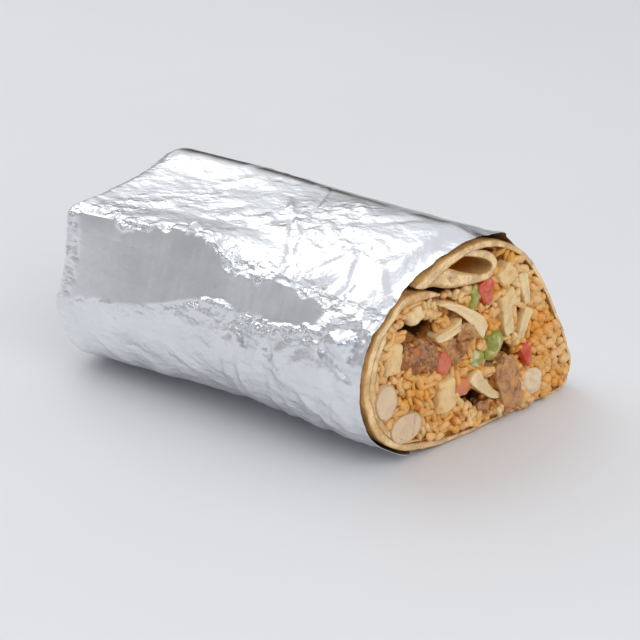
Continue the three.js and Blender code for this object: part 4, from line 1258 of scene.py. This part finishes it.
def room_table(tortilla):
    """Distance from the axis to the inside of the wall at angles round it."""
    points, outwards = outline(1.0, ALL_ROUND)
    return polar_table(points - outwards * wall_inset(ALL_ROUND, tortilla)[:, None])


def grain_shape():
    """One grain of rice: its points for a length and width of 1, and its faces."""
    shape = bmesh.new()
    bmesh.ops.create_icosphere(shape, subdivisions=2, radius=0.5)
    points = points_of(shape)
    blunt = 1 + 0.36 * np.abs(points[:, 0]) * 2
    points[:, 1:] *= blunt[:, None]
    points[:, 2] += 0.10 * (points[:, 0] * 2) ** 2
    faces = np.array([[vertex.index for vertex in face.verts] for face in shape.faces])
    shape.free()
    return points, faces


def hollow_depth(y, z):
    """How deep the hollows reach at points of the face, in mm."""
    depth = np.zeros_like(y)
    for hollow_y, hollow_z, radius, deep in HOLLOWS:
        away = np.hypot(y - hollow_y, z - hollow_z)
        depth = np.maximum(depth, deep * (1 - rise(away, 0.65 * radius, 1.15 * radius)))
    return depth


def turned(angles):
    """Rotation matrices for rows of three angles about X, Y and Z, applied in that order."""
    a, b, c = angles.T
    one, zero = np.ones_like(a), np.zeros_like(a)

    def stack(*rows):
        return np.stack([np.stack(row, axis=-1) for row in rows], axis=-2)

    about_x = stack((one, zero, zero), (zero, np.cos(a), -np.sin(a)), (zero, np.sin(a), np.cos(a)))
    about_y = stack((np.cos(b), zero, np.sin(b)), (zero, one, zero), (-np.sin(b), zero, np.cos(b)))
    about_z = stack((np.cos(c), -np.sin(c), zero), (np.sin(c), np.cos(c), zero), (zero, zero, one))
    return about_z @ about_y @ about_x


def on_a_piece(y, z, margin):
    """Whether points of the face lie on one of the pieces."""
    found = np.zeros(y.shape, bool)
    for piece in PIECES:
        turn = -math.radians(piece.turn)
        off_y, off_z = y - piece.y, z - piece.z
        across = off_y * math.cos(turn) - off_z * math.sin(turn)
        up = off_y * math.sin(turn) + off_z * math.cos(turn)
        shape = (across / (piece.width / 2 + margin)) ** 2 + (up / (piece.height / 2 + margin)) ** 2
        found |= shape < 1
    return found


def grain_spots(tortilla, rice, random):
    """Places on the open face for grains, in two layers: [y, z, ahead, layer]."""
    table = room_table(tortilla)
    spots = np.empty((0, 4))
    sunk = rice.sunk / MM
    for layer, apart, margin in GRAIN_LAYERS:
        count = 0
        layer_spots = np.empty((0, 4))
        while count < GRAIN_TRIES and len(layer_spots) < rice.grains / 2:
            count += 1
            y, z = random.uniform(*FACE_WIDTH), random.uniform(*FACE_HEIGHT)
            place = np.array([y]), np.array([z])
            if not in_outline(*place, 1.0, table)[0] or under_fold(*place)[0] > -0.9:
                continue
            if on_a_piece(*place, margin)[0] or hollow_depth(*place)[0] > 1.8 - 1.2 * layer:
                continue
            room = apart * (1 + 0.14 * rise(y, *FAR_SIDE))
            if len(layer_spots) and np.hypot(*(layer_spots[:, :2] - [y, z]).T).min() < room:
                continue
            ahead = rice_face(*place, sunk)[0] + 0.15 + 0.75 * layer
            ahead -= 0.35 * rise(y, *FAR_SIDE) + 0.35 * rise(y, 34, 40)
            layer_spots = np.vstack([layer_spots, [y, z, ahead, layer]])
        spots = np.vstack([spots, layer_spots])
    return spots


def grains_mesh(body, spots, rice, random):
    """All the loose grains as one mesh, each with its own tint, painted darker with sauce and shade where
    it lies deep.
    """
    base, faces = grain_shape()
    count = len(spots)
    far = rise(spots[:, 0], *FAR_SIDE)
    lengths = rice.grain_length / MM * (1.0 - 0.5 * random.beta(1.4, 1.5, count)) * (1 - 0.12 * far)
    plump = random.uniform(0.75, 1.15, count) + random.uniform(0, 0.6, count) * far
    widths = rice.grain_width / MM * plump
    angles = np.column_stack([
        random.uniform(0, 2 * math.pi, count), random.normal(0, 0.35, count),
        math.pi / 2 + random.normal(0, 0.5 + 0.3 * far, count),
    ])
    lie = random.uniform(0, math.pi, count)
    rotation = turned(np.column_stack([lie, np.zeros(count), np.full(count, -body.angle)])) @ turned(angles)
    stretched = base[None] * np.stack([lengths, widths, widths * 0.9], axis=-1)[:, None]
    points = np.einsum("nij,nkj->nki", rotation, stretched)
    x = body.cut_x(spots[:, 0]) + spots[:, 2]
    points += np.column_stack([x, spots[:, :2]])[:, None]
    points = points + 0.5 * soft_shift(points, 2.4, 221)
    points = points + 0.20 * soft_shift(points, 1.1, 231)
    mesh = bpy.data.meshes.new("rice_grains")
    all_faces = (faces[None] + (np.arange(count) * len(base))[:, None, None]).reshape(-1, 3)
    mesh.from_pydata(into_frame(points.reshape(-1, 3)).tolist(), [], all_faces.tolist())
    mound = hill(np.hypot(spots[:, 0] - MOUND[0], spots[:, 1] - MOUND[1]), 8)
    place = np.column_stack([np.zeros(count), spots[:, :2]])
    patch = 0.5 + 0.9 * soft_noise(place, 6, 241)
    pale = 0.55 * random.beta(0.9, 1.1, count) + 0.55 * patch
    pale = np.clip(pale * (1 - 0.25 * far) * (1 - 0.75 * mound), 0, 1)
    y, z = points[..., 1], points[..., 2]
    over_level = points[..., 0] - body.cut_x(y) - rice_level(y, z, rice.sunk / MM)
    # Grains behind the level of the rice are marked: up to 1 for sauce and painted shade, up to 2 for the
    # near-black painted shade of the hollows.
    deep = 1 - rise(over_level, -0.7, 1.0) + rise(-over_level, 1.2, 3.0)
    add_values(mesh, "tint", np.repeat(pale, len(base)))
    add_values(mesh, "deep", deep.reshape(-1))
    mesh.shade_smooth()
    return mesh


def add_values(mesh, name, values):
    """Gives a mesh one named number for each of its points."""
    mesh.attributes.new(name, "FLOAT", "POINT").data.foreach_set("value", values.astype(np.float32))


def rice_finish(colours, name, own_tints):
    """Sticky cooked rice, orange from its seasoning, some of it pale, with sauce and painted shade in its
    gaps and painted shade in its hollows.
    """
    finish = moist(
        name, Roughness=0.4, Subsurface_Weight=0.22, Subsurface_Scale=0.0008, Coat_Weight=0.4,
        Coat_Roughness=0.14, Specular_IOR_Level=0.4,
    )
    patches = finish.noise(8, detail=2)
    fine = finish.noise(1.3, detail=3)
    if own_tints:
        tint = finish.value("tint")
    else:
        tint = finish.spread(finish.noise(3.0, detail=2), 0.35, 0.65, 0, 0.5)
    tint = finish.maths("ADD", tint, finish.spread(fine, 0.3, 0.7, -0.2, 0.2))
    base = finish.mix(tint, colours.rice, colours.pale_rice)
    strong = finish.stain(patches, 0.48, 0.7, 0.7, base, tinted(colours.rice, 0.95))
    flecks = finish.cells(4.2)
    speckled = finish.stain(flecks, 0.08, 0.04, 0.6, strong, FLECK)
    deep = finish.value("deep")
    # Gaps and low grains get the sauce colour: partly sauce, partly painted shade.
    sauced_and_shaded = finish.stain(deep, 0.0, 0.9, 0.95, speckled, colours.sauce)
    # Above 1 the rice turns near black: painted shade in the hollows.
    finish.set("Base Color", finish.stain(deep, 1.0, 1.8, 1, sauced_and_shaded, colours.painted_hollow_shade))
    wet = finish.noise(0.8, detail=4, roughness=0.6)
    finish.set("Normal", finish.bump(wet, 0.18, 0.6))
    return finish.material


class BURRITO_OT_rice(bpy.types.Operator):
    """Packs the burrito with rice and lays loose grains on the cut face."""

    bl_idname = "burrito.rice"
    bl_label = "Rice"

    def execute(self, context):
        scene = context.scene
        body = Body()
        rice, tortilla, colours = scene.burrito_rice, scene.burrito_tortilla, scene.burrito_colours
        grid, deep = core_grid(body, tortilla, rice)
        core = link_piece("packed_rice", sheet_mesh("packed_rice", grid, {"deep": deep}))
        core.data.materials.append(rice_finish(colours, "packed_rice", False))
        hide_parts("filling")
        random = np.random.default_rng(rice.seed)
        spots = grain_spots(tortilla, rice, random)
        grains = link_piece("rice_grains", grains_mesh(body, spots, rice, random))
        grains.data.materials.append(rice_finish(colours, "rice_grain", True))
        return {"FINISHED"}


# ---- Pieces in the filling -----------------------------------------------

class Piece:
    """One piece that shows at the cut: its place [y, z] on the face, its width, height and
    depth, how far it stands ahead of the face, its turn on the face in degrees, and its bow."""

    def __init__(self, name, at, size, ahead, turn, bow=0.0, **more):
        self.name = name
        self.y, self.z = at
        self.width, self.height, self.depth = size
        self.ahead = ahead
        self.turn = turn
        self.bow = bow
        self.more = more

    @property
    def seed(self):
        return sum(ord(letter) * (n + 3) for n, letter in enumerate(self.name))


BEANS = [
    Piece("bean_upper", (-31.5, 20.6), (8, 10.6, 9), 0.7, 8),
    Piece("bean_lower", (-24.0, 10.8), (12.4, 9.0, 9), 1.0, -4, split=0.5),
]
POTATOES = [
    Piece("potato_left", (-29, 32.2), (5.4, 8.6, 9), 0.6, -6),
    Piece("potato_middle", (-9.3, 15.3), (7, 9.4, 10), 1.3, 2),
    Piece("potato_right", (14.2, 36.2), (6.4, 5.6, 6), 1.0, 24),
    Piece("potato_top", (13.6, 43.6), (5.8, 6.0, 6), 0.9, 35),
]
MEATS = [
    Piece("meat_left", (-17.6, 28.9), (16.4, 10, 10), 1.7, -16, red=0.55, pale=0.25),
    Piece("meat_middle", (-4.6, 26.8), (11.8, 9, 9), 0.3, 6, red=0.02, pale=0.75),
    Piece("meat_upper", (-1.8, 31.8), (8, 7, 8), 0.9, 30, red=0.1, pale=1.0),
    Piece("meat_right", (15.2, 10.4), (8.2, 17, 8), 2.6, 16, red=0.05, pale=0.95, slab=True),
    Piece("meat_low", (7.8, 5.4), (8.4, 4.8, 7), 0.5, 16, red=0.0, pale=0.3),
]
TOMATOES = [
    Piece("tomato_left", (-11.6, 25.4), (5.8, 6.0, 6), 1.6, -24, strength=0.7),
    Piece("tomato_top", (6.2, 40.6), (6.2, 7.8, 6), 0.4, 16, strength=0.95, wedge=0.9),
    Piece("tomato_low", (-1.7, 14.9), (6.4, 5.0, 6), -0.5, -24, strength=0.3),
    Piece("tomato_right", (23.4, 17.2), (5.0, 7.8, 6), 0.4, 10, strength=1.0, wedge=0.8),
]
ONIONS = [
    Piece("onion_left", (-8.8, 33.7), (10.4, 3.8, 5), 0.4, 12, -0.8),
    Piece("onion_long", (-3.8, 37), (23, 4.8, 4), 1.3, -37, 2.2, taper=0.75),
    Piece("onion_corner", (-20.7, 41.8), (5.8, 4.4, 6), 0.2, 20, chunk=True),
    Piece("onion_wedge", (6.4, 12.4), (15, 5.4, 4), 0.9, -42, -0.8, taper=-0.7),
    Piece("onion_right", (21.4, 26.8), (9.4, 3.8, 5), 0.3, 72),
    Piece("onion_centre", (14.4, 29.8), (8.6, 4.2, 5), 0.5, 98),
    Piece("onion_top", (21, 37.6), (10.6, 3.8, 5), 0.4, 106),
]
PEPPERS = [
    Piece("pepper_top", (1.8, 40.8), (5.2, 7.2, 6), 0.3, 15),
    Piece("pepper_middle", (9.8, 23.8), (6.8, 8.4, 7), 0.8, -10),
    Piece("pepper_left", (3.8, 21.6), (5.4, 5.8, 6), 0.5, 0),
]
CHEESES = [Piece("cheese_right", (26.4, 7.4), (9.4, 9.0, 9), 1.4, -8)]
PIECES = BEANS + POTATOES + MEATS + TOMATOES + ONIONS + PEPPERS + CHEESES


def in_place(body, piece, points):
    """Stretches points of a form of size 1 to a piece, bows it and sets it on the face."""
    points = points * np.array([piece.depth, piece.width, piece.height])
    share = points[:, 1] / piece.width * 2
    points[:, 2] += piece.bow * (0.5 - share ** 2)
    turn = Matrix.Rotation(-body.angle, 3, "Z") @ Matrix.Rotation(math.radians(piece.turn), 3, "X")
    points = points @ np.array(turn).T
    return points + np.array([body.cut_x(piece.y) + piece.ahead - piece.depth / 2, piece.y, piece.z])


def block_form(cuts, roundness):
    """A cube of size 1 with many facets and rounded corners: 0 is sharp and 1 is a ball."""
    shape = bmesh.new()
    bmesh.ops.create_cube(shape, size=1)
    bmesh.ops.subdivide_edges(shape, edges=shape.edges[:], cuts=cuts, use_grid_fill=True)
    points = points_of(shape)
    power = 2 + 10 * (1 - roundness) ** 2
    reach = (np.abs(points * 2) ** power).sum(axis=1) ** (1 / power)
    set_points(shape, points / reach[:, None])
    return shape


def ball_form(subdivisions):
    shape = bmesh.new()
    bmesh.ops.create_icosphere(shape, subdivisions=subdivisions, radius=0.5)
    return shape


def bean_form():
    """A broad bean cut through: flat in front with its skin standing proud, round behind."""
    profile = [(0.40, 0.0), (0.405, 0.12), (0.40, 0.26), (0.405, 0.38), (0.41, 0.445), (0.44, 0.465),
               (0.44, 0.485), (0.36, 0.5), (0.2, 0.49), (0.0, 0.45), (-0.2, 0.37), (-0.36, 0.24),
               (-0.46, 0.1), (-0.5, 0.0)]
    shape = bmesh.new()
    fine = open_curve(np.array(profile), 4)
    row = [shape.verts.new((x, max(0.0, r), 0)) for x, r in fine]
    edges = [shape.edges.new(pair) for pair in zip(row, row[1:])]
    bmesh.ops.spin(
        shape, geom=[*row, *edges], cent=(0, 0, 0), axis=(1, 0, 0), angle=2 * math.pi,
        steps=64, use_merge=True, dvec=(0, 0, 0),
    )
    bmesh.ops.remove_doubles(shape, verts=shape.verts[:], dist=1e-5)
    return shape


def finished_piece(shape, points, piece, material, values=None):
    """Makes an object from a bmesh with new points in the burrito's frame."""
    set_points(shape, into_frame(points))
    set_values(shape, values or {})
    name = f"cut_{piece.name}"
    made = link_piece(name, tidy_mesh(shape, bpy.data.meshes.new(name), weld=1e-8))
    made.data.materials.append(material)
    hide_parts(piece.name)


def bumpy(points, piece, height, size, layers=3):
    """Points moved by uneven noise, in millimetres, as on a soft cut piece."""
    return points + height * rough_shift(points, size, piece.seed, layers)


def bean_finish(colours):
    finish = moist("cooked_bean", Roughness=0.5, Coat_Weight=0.3)
    skin = finish.value("skin")
    mealy = finish.noise(1.2, detail=4)
    mottle = finish.noise(4, detail=2)
    inside = finish.shades(mottle, 0.35, 0.7, colours.bean, 1, 1.12)
    inside = finish.stain(mealy, 0.55, 0.75, 0.3, inside, tinted(colours.bean, 0.8))
    finish.set("Base Color", finish.mix(skin, inside, BEAN_SKIN))
    finish.set("Normal", finish.bump(mealy, 0.14, 0.6))
    return finish.material


class BURRITO_OT_beans(bpy.types.Operator):
    """Sets the cut broad beans in the face."""

    bl_idname = "burrito.beans"
    bl_label = "Beans"

    def execute(self, context):
        body = Body()
        material = bean_finish(context.scene.burrito_colours)
        for piece in BEANS:
            shape = bean_form()
            form = points_of(shape)
            reach = np.hypot(form[:, 1], form[:, 2])
            ring = hill(reach - 0.478, 0.022) * (form[:, 0] > 0.3)
            skin = np.maximum(ring, form[:, 0] < 0.3)
            if "split" in piece.more:
                waver = 0.012 * np.sin(form[:, 2] * 20)
                crack = hill(form[:, 1] - piece.more["split"] / 2 - waver, 0.012)
                crack *= form[:, 0] > 0.3
                form[:, 0] -= 0.05 * crack
                # The split takes the skin's darker colour: painted shade in the crack.
                skin = np.maximum(skin, 0.8 * crack)
            points = bumpy(in_place(body, piece, form), piece, 0.12, 2.4)
            points += 0.3 * soft_shift(points, 7, piece.seed)
            finished_piece(shape, points, piece, material, {"skin": skin})
        return {"FINISHED"}


def potato_finish(colours):
    finish = moist("boiled_potato", Roughness=0.4, Subsurface_Weight=0.5)
    cloud = finish.noise(5, detail=3)
    grain = finish.noise(0.9, detail=4)
    base = finish.shades(cloud, 0.35, 0.7, colours.potato, 1, 1.16)
    sauce = finish.noise(3.2, detail=3, distortion=0.5)
    finish.set("Base Color", finish.stain(sauce, 0.54, 0.7, 0.7, base, ORANGE_SAUCE))
    finish.set("Normal", finish.bump(grain, 0.2, 0.6))
    return finish.material


def cheese_finish(colours):
    finish = moist("fresh_cheese", Roughness=0.5, Subsurface_Weight=0.45, Coat_Weight=0.15)
    cloud = finish.noise(4, detail=4)
    crumbly = finish.noise(1.0, detail=4)
    base = finish.shades(cloud, 0.4, 0.7, colours.cheese, 1, 0.86)
    sauce = finish.noise(5, detail=2, distortion=0.6)
    stained = finish.stain(sauce, 0.54, 0.7, 0.6, base, PALE_SAUCE)
    specks = finish.cells(4.6)
    finish.set("Base Color", finish.stain(specks, 0.11, 0.07, 1, stained, PEPPERCORN))
    finish.set("Normal", finish.bump(crumbly, 0.2, 0.7))
    return finish.material


def set_block(body, piece, material, roundness, height=0.35, size=4.0):
    """A diced piece with worn corners; wedge makes it broad above and narrow below."""
    shape = block_form(17, roundness)
    form = points_of(shape) * 1.04
    wedge = piece.more.get("wedge", 0)
    form[:, 1] *= 1 - 0.3 * wedge + wedge * form[:, 2]
    points = bumpy(in_place(body, piece, form), piece, height, size, 2)
    points[:, 0] += 0.35 * facets(points, 3.4, piece.seed)
    finished_piece(shape, bumpy(points, piece, 0.14, 0.9, 2), piece, material)


class BURRITO_OT_potatoes(bpy.types.Operator):
    """Sets the diced potato in the face."""

    bl_idname = "burrito.potatoes"
    bl_label = "Potatoes"

    def execute(self, context):
        body = Body()
        material = potato_finish(context.scene.burrito_colours)
        for piece in POTATOES:
            set_block(body, piece, material, roundness=0.26, height=0.3)
        return {"FINISHED"}


class BURRITO_OT_cheese(bpy.types.Operator):
    """Sets the white cheese in the face."""

    bl_idname = "burrito.cheese"
    bl_label = "Cheese"

    def execute(self, context):
        body = Body()
        material = cheese_finish(context.scene.burrito_colours)
        for piece in CHEESES:
            set_block(body, piece, material, roundness=0.75, height=0.25)
        return {"FINISHED"}


def meat_finish(colours, name, red, pale):
    """Roast meat: brown fibres, red juices, pale fat and dark char spots."""
    finish = moist(name, Roughness=0.42, Subsurface_Weight=0.12, Coat_Weight=0.25, Coat_Roughness=0.15)
    drawn_out = finish.stretched((1, 1, 0.35), (0.4, 0, 0))
    fibres = finish.noise(1.3, detail=5, roughness=0.65, distortion=0.8, place=drawn_out)
    patch = finish.noise(4.0, detail=4, roughness=0.6)
    base = finish.shades(fibres, 0.35, 0.65, colours.meat, 0.45, 1.6)
    light = finish.stain(patch, 0.60 - 0.25 * pale, 0.75 - 0.2 * pale, 0.8, base, MEAT_FAT)
    # Orange patches painted where the meat glints: painted highlights.
    glint = finish.noise(2.2, detail=4, roughness=0.7)
    orange = finish.stain(glint, 0.50, 0.64, 0.75, light, PAINTED_MEAT_GLINT)
    reddish = finish.noise(5.5, detail=3, distortion=0.4)
    rosy = finish.stain(reddish, 0.62 - 0.25 * red, 0.80 - 0.2 * red, 0.7, orange, RED_JUICE)
    char = finish.noise(1.8, detail=4, roughness=0.65)
    finish.set("Base Color", finish.stain(char, 0.58, 0.72, 0.85, rosy, CHAR))
    finish.set("Normal", finish.bump(fibres, 0.45, 0.9))
    return finish.material


class BURRITO_OT_meats(bpy.types.Operator):
    """Sets the torn and sliced roast meat in the face."""

    bl_idname = "burrito.meats"
    bl_label = "Meat"

    def execute(self, context):
        body = Body()
        colours = context.scene.burrito_colours
        for piece in MEATS:
            material = meat_finish(colours, piece.name, piece.more["red"], piece.more["pale"])
            slab = "slab" in piece.more
            shape = block_form(30, 0.35) if slab else ball_form(5)
            points = in_place(body, piece, points_of(shape) * (1.0 if slab else 1.06))
            along_grain = points * np.array([1.0, 1.0, 0.5 if slab else 0.8])
            crumbly = 0.55 if slab else 1.45
            points = points + crumbly * rough_shift(along_grain, 3.2, piece.seed, 4)
            fibre = facets(points * np.array([1, 1, 0.4]), 1.6, piece.seed)
            normal = points - points.mean(axis=0)
            normal /= np.linalg.norm(normal, axis=1)[:, None]
            points = points + normal * (0.9 * fibre)[:, None]
            points[:, 2] = np.maximum(points[:, 2], 0.3 + 0.3 * points[:, 2])
            finished_piece(shape, points, piece, material)
        return {"FINISHED"}


def tomato_finish(colours, name, strength):
    """Raw tomato: wet red flesh, paler inside."""
    finish = moist(
        name, Roughness=0.3, Subsurface_Weight=0.2, Coat_Weight=0.4, Coat_Roughness=0.12,
    )
    flesh = tuple(a * strength + b * (1 - strength) for a, b in zip(colours.tomato, WEAK_TOMATO))
    cloud = finish.noise(3.2, detail=3, distortion=0.4)
    base = finish.stain(cloud, 0.45, 0.72, 0.8, flesh, TOMATO_CLOUD)
    streak = finish.noise(1.6, detail=3, place=finish.stretched((1, 0.4, 1)))
    finish.set("Base Color", finish.stain(streak, 0.6, 0.75, 0.45, base, TOMATO_STREAK))
    finish.set("Normal", finish.bump(finish.noise(1.4, detail=3), 0.15, 0.5))
    return finish.material


class BURRITO_OT_tomatoes(bpy.types.Operator):
    """Sets the diced tomato in the face."""

    bl_idname = "burrito.tomatoes"
    bl_label = "Tomatoes"

    def execute(self, context):
        body = Body()
        for piece in TOMATOES:
            material = tomato_finish(context.scene.burrito_colours, piece.name, piece.more["strength"])
            set_block(body, piece, material, roundness=0.5, height=0.6, size=3.8)
        return {"FINISHED"}


def onion_finish(colours):
    """Softened onion and cabbage: translucent, with fine veins along each strip."""
    finish = moist(
        "soft_onion", Roughness=0.32, Subsurface_Weight=0.6, Subsurface_Scale=0.0025,
        Coat_Weight=0.45, Coat_Roughness=0.15,
    )
    veins = finish.noise(1.3, detail=2, place=finish.stretched((1, 0.3, 1), (0.6, 0, 0)))
    cloud = finish.noise(5, detail=3)
    base = finish.shades(cloud, 0.35, 0.7, colours.onion, 1, 1.22)
    veined = finish.stain(veins, 0.5, 0.7, 0.3, base, tinted(colours.onion, 0.8))
    sauce = finish.noise(3.8, detail=3, distortion=0.6)
    finish.set("Base Color", finish.stain(sauce, 0.56, 0.72, 0.6, veined, BROWN_SAUCE))
    finish.set("Normal", finish.bump(veins, 0.12, 0.5))
    return finish.material


class BURRITO_OT_onions(bpy.types.Operator):
    """Sets the strips of onion and cabbage in the face."""

    bl_idname = "burrito.onions"
    bl_label = "Onions"

    def execute(self, context):
        body = Body()
        material = onion_finish(context.scene.burrito_colours)
        for piece in ONIONS:
            if "chunk" in piece.more:
                set_block(body, piece, material, roundness=0.6)
                continue
            shape = block_form(22, 0.22)
            form = points_of(shape)
            taper = piece.more.get("taper", 0.35)
            width = 1 - 0.5 * abs(taper) + taper * form[:, 1]
            form[:, 2] *= width - 1.2 * np.maximum(0, np.abs(form[:, 1]) - 0.36)
            form[:, 0] += 0.35 * (form[:, 2] ** 2) * 2
            points = bumpy(in_place(body, piece, form), piece, 0.35, 4.0)
            ridges = 0.05 * np.sin(form[:, 2] * 22 + 2 * soft_noise(points, 5, piece.seed))
            points[:, 0] += ridges
            finished_piece(shape, points, piece, material)
        return {"FINISHED"}


def pepper_finish(colours):
    """Soft green pepper under a smear of pale cream."""
    finish = moist(
        "green_pepper", Roughness=0.28, Subsurface_Weight=0.45, Coat_Weight=0.5, Coat_Roughness=0.12,
    )
    cloud = finish.noise(3.4, detail=3)
    base = finish.stain(cloud, 0.35, 0.7, 1, colours.pepper, LIGHT_PEPPER)
    smear = finish.noise(3.4, detail=3, distortion=0.8)
    finish.set("Base Color", finish.stain(smear, 0.5, 0.62, 0.85, base, CREAM))
    finish.set("Normal", finish.bump(finish.noise(1.3, detail=3), 0.15, 0.5))
    return finish.material


class BURRITO_OT_peppers(bpy.types.Operator):
    """Sets the green pepper in the face."""

    bl_idname = "burrito.peppers"
    bl_label = "Peppers"

    def execute(self, context):
        body = Body()
        material = pepper_finish(context.scene.burrito_colours)
        for piece in PEPPERS:
            set_block(body, piece, material, roundness=0.75, height=0.7, size=3.5)
        return {"FINISHED"}


# ---- Stage ---------------------------------------------------------------

# Colour of the room from 0, level, to 1, overhead. The first and last are its ends.
ROOM_LEVELS = (
    (0.0, (0.37, 0.375, 0.39, 1)), (0.12, (0.44, 0.44, 0.45, 1)), (0.34, (0.72, 0.73, 0.75, 1)),
    (0.5, (0.78, 0.79, 0.81, 1)), (1.0, (0.72, 0.74, 0.78, 1)),
)
# Patches of the room: heading, how squarely it is faced where the patch starts and is full, the
# heights above which it is gone and below which it is full, and its colour.
ROOM_PATCHES = (
    ((-0.5, 0.86, 0), 0.15, 0.5, 0.28, 0.17, (0.05, 0.035, 0.025, 1)),
    ((-0.56, -0.83, 0), 0.2, 0.6, 0.80, 0.58, (0.38, 0.385, 0.395, 1)),
    ((0.15, -0.99, 0), 0.80, 0.95, 0.75, 0.5, (1.30, 1.30, 1.32, 1)),
    ((0.62, -0.78, 0), 0.55, 0.90, 0.85, 0.45, (0.12, 0.15, 0.21, 1)),
)
# Soft lights: name, place and the point it looks at in metres, size in metres, power in watts.
SOFTBOXES = (
    ("window", (-0.74, 0.0, 0.84), (0, 0, 0.03), (1.1, 0.95), 3.9),
    ("fill", (0.9, -0.35, 0.75), (0.03, 0, 0.02), (0.9, 0.9), 5.3),
)


def add_softbox(name, place, target, size, power):
    """A rectangular soft light that looks at a point."""
    light = bpy.data.lights.new(name, "AREA")
    light.shape = "RECTANGLE"
    light.size, light.size_y = size
    light.energy = power
    lamp = bpy.data.objects.new(name, light)
    aim = Vector(target) - Vector(place)
    lamp.matrix_world = Matrix.Translation(place) @ aim.to_track_quat("-Z", "Y").to_matrix().to_4x4()
    bpy.context.scene.collection.objects.link(lamp)


def add_camera(stage):
    """The camera looks down along its heading, with no roll."""
    camera = bpy.data.objects.new("camera", bpy.data.cameras.new("camera"))
    camera.data.lens = stage.lens
    camera.data.sensor_width = 36
    camera.data.clip_start = 0.01
    turn = Matrix.Rotation(stage.azimuth, 4, "Z") @ Matrix.Rotation(math.pi / 2 - stage.elevation, 4, "X")
    camera.matrix_world = Matrix.Translation(stage.camera_place) @ turn
    bpy.context.scene.collection.objects.link(camera)
    bpy.context.scene.camera = camera


def add_surroundings():
    """A dim room round the stage: grey at the height of the object, lighter above."""
    world = bpy.data.worlds.new("room")
    world.use_nodes = True
    nodes, links = world.node_tree.nodes, world.node_tree.links
    direction = nodes.new("ShaderNodeTexCoord")
    split = nodes.new("ShaderNodeSeparateXYZ")
    links.new(direction.outputs["Generated"], split.inputs["Vector"])
    ramp = nodes.new("ShaderNodeValToRGB")
    links.new(split.outputs["Z"], ramp.inputs["Fac"])
    stops = ramp.color_ramp.elements
    for stop, (position, level) in zip(stops, (ROOM_LEVELS[0], ROOM_LEVELS[-1])):
        stop.position = position
        stop.color = level
    for position, level in ROOM_LEVELS[1:-1]:
        stops.new(position).color = level
    surroundings = ramp.outputs["Color"]
    for heading, start, full, gone, whole, shade in ROOM_PATCHES:
        facing = nodes.new("ShaderNodeVectorMath")
        facing.operation = "DOT_PRODUCT"
        facing.inputs[1].default_value = heading
        links.new(direction.outputs["Generated"], facing.inputs[0])
        part = in_range(nodes, links, facing.outputs["Value"], start, full)
        height = in_range(nodes, links, split.outputs["Z"], gone, whole)
        both = nodes.new("ShaderNodeMath")
        both.operation = "MULTIPLY"
        links.new(part, both.inputs[0])
        links.new(height, both.inputs[1])
        mixed = nodes.new("ShaderNodeMix")
        mixed.data_type = "RGBA"
        links.new(both.outputs["Value"], mixed.inputs["Factor"])
        links.new(surroundings, mixed.inputs[6])
        mixed.inputs[7].default_value = shade
        surroundings = mixed.outputs[2]
    links.new(surroundings, nodes["Background"].inputs["Color"])
    bpy.context.scene.world = world


def in_range(nodes, links, source, low, high):
    """0 where a value is at low, 1 at high, and held there."""
    node = nodes.new("ShaderNodeMapRange")
    node.interpolation_type = "SMOOTHSTEP"
    node.inputs["From Min"].default_value = low
    node.inputs["From Max"].default_value = high
    links.new(source, node.inputs["Value"])
    return node.outputs["Result"]


class BURRITO_OT_stage(bpy.types.Operator):
    """Lays a pale floor and sets the camera and the soft lights."""

    bl_idname = "burrito.stage"
    bl_label = "Stage"

    def execute(self, context):
        stage = context.scene.burrito_stage
        shape = bmesh.new()
        bmesh.ops.create_grid(shape, x_segments=8, y_segments=8, size=4)
        mesh = bpy.data.meshes.new("floor")
        shape.to_mesh(mesh)
        shape.free()
        floor = bpy.data.objects.new("floor", mesh)
        context.scene.collection.objects.link(floor)
        paper = Finish("pale_floor", Roughness=0.5, Specular_IOR_Level=0.3)
        tone = paper.shades(paper.noise(180, detail=2), 0.3, 0.7, stage.floor, 1, 0.97)
        paper.set("Base Color", tone)
        floor.data.materials.append(paper.material)
        for softbox in SOFTBOXES:
            add_softbox(*softbox)
        add_surroundings()
        add_camera(stage)
        context.scene.view_settings.view_transform = "Standard"
        return {"FINISHED"}


# ---- Add-on --------------------------------------------------------------

class BURRITO_PT_panel(bpy.types.Panel):
    """Lists the steps that dress the burrito."""

    bl_idname = "BURRITO_PT_panel"
    bl_label = "Burrito"
    bl_space_type = "VIEW_3D"
    bl_region_type = "UI"
    bl_category = "Burrito"

    def draw(self, context):
        for step in STEPS:
            self.layout.operator(step.bl_idname)


STEPS = [
    BURRITO_OT_foil, BURRITO_OT_tortilla, BURRITO_OT_rice, BURRITO_OT_beans, BURRITO_OT_potatoes,
    BURRITO_OT_meats, BURRITO_OT_tomatoes, BURRITO_OT_onions, BURRITO_OT_peppers,
    BURRITO_OT_cheese, BURRITO_OT_stage,
]
SETTINGS = {
    "burrito_body": BurritoBody, "burrito_foil": BurritoFoil, "burrito_tortilla": BurritoTortilla,
    "burrito_rice": BurritoRice, "burrito_colours": BurritoColours, "burrito_stage": BurritoStage,
}


def register():
    for group in [*SETTINGS.values(), *STEPS, BURRITO_PT_panel]:
        bpy.utils.register_class(group)
    for name, group in SETTINGS.items():
        setattr(bpy.types.Scene, name, PointerProperty(type=group))


def unregister():
    for name in SETTINGS:
        delattr(bpy.types.Scene, name)
    for group in [BURRITO_PT_panel, *STEPS, *SETTINGS.values()]:
        bpy.utils.unregister_class(group)


def main():
    register()
    for step in STEPS:
        family, action = step.bl_idname.split(".")
        getattr(getattr(bpy.ops, family), action)()
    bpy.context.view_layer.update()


if __name__ == "__main__":
    main()
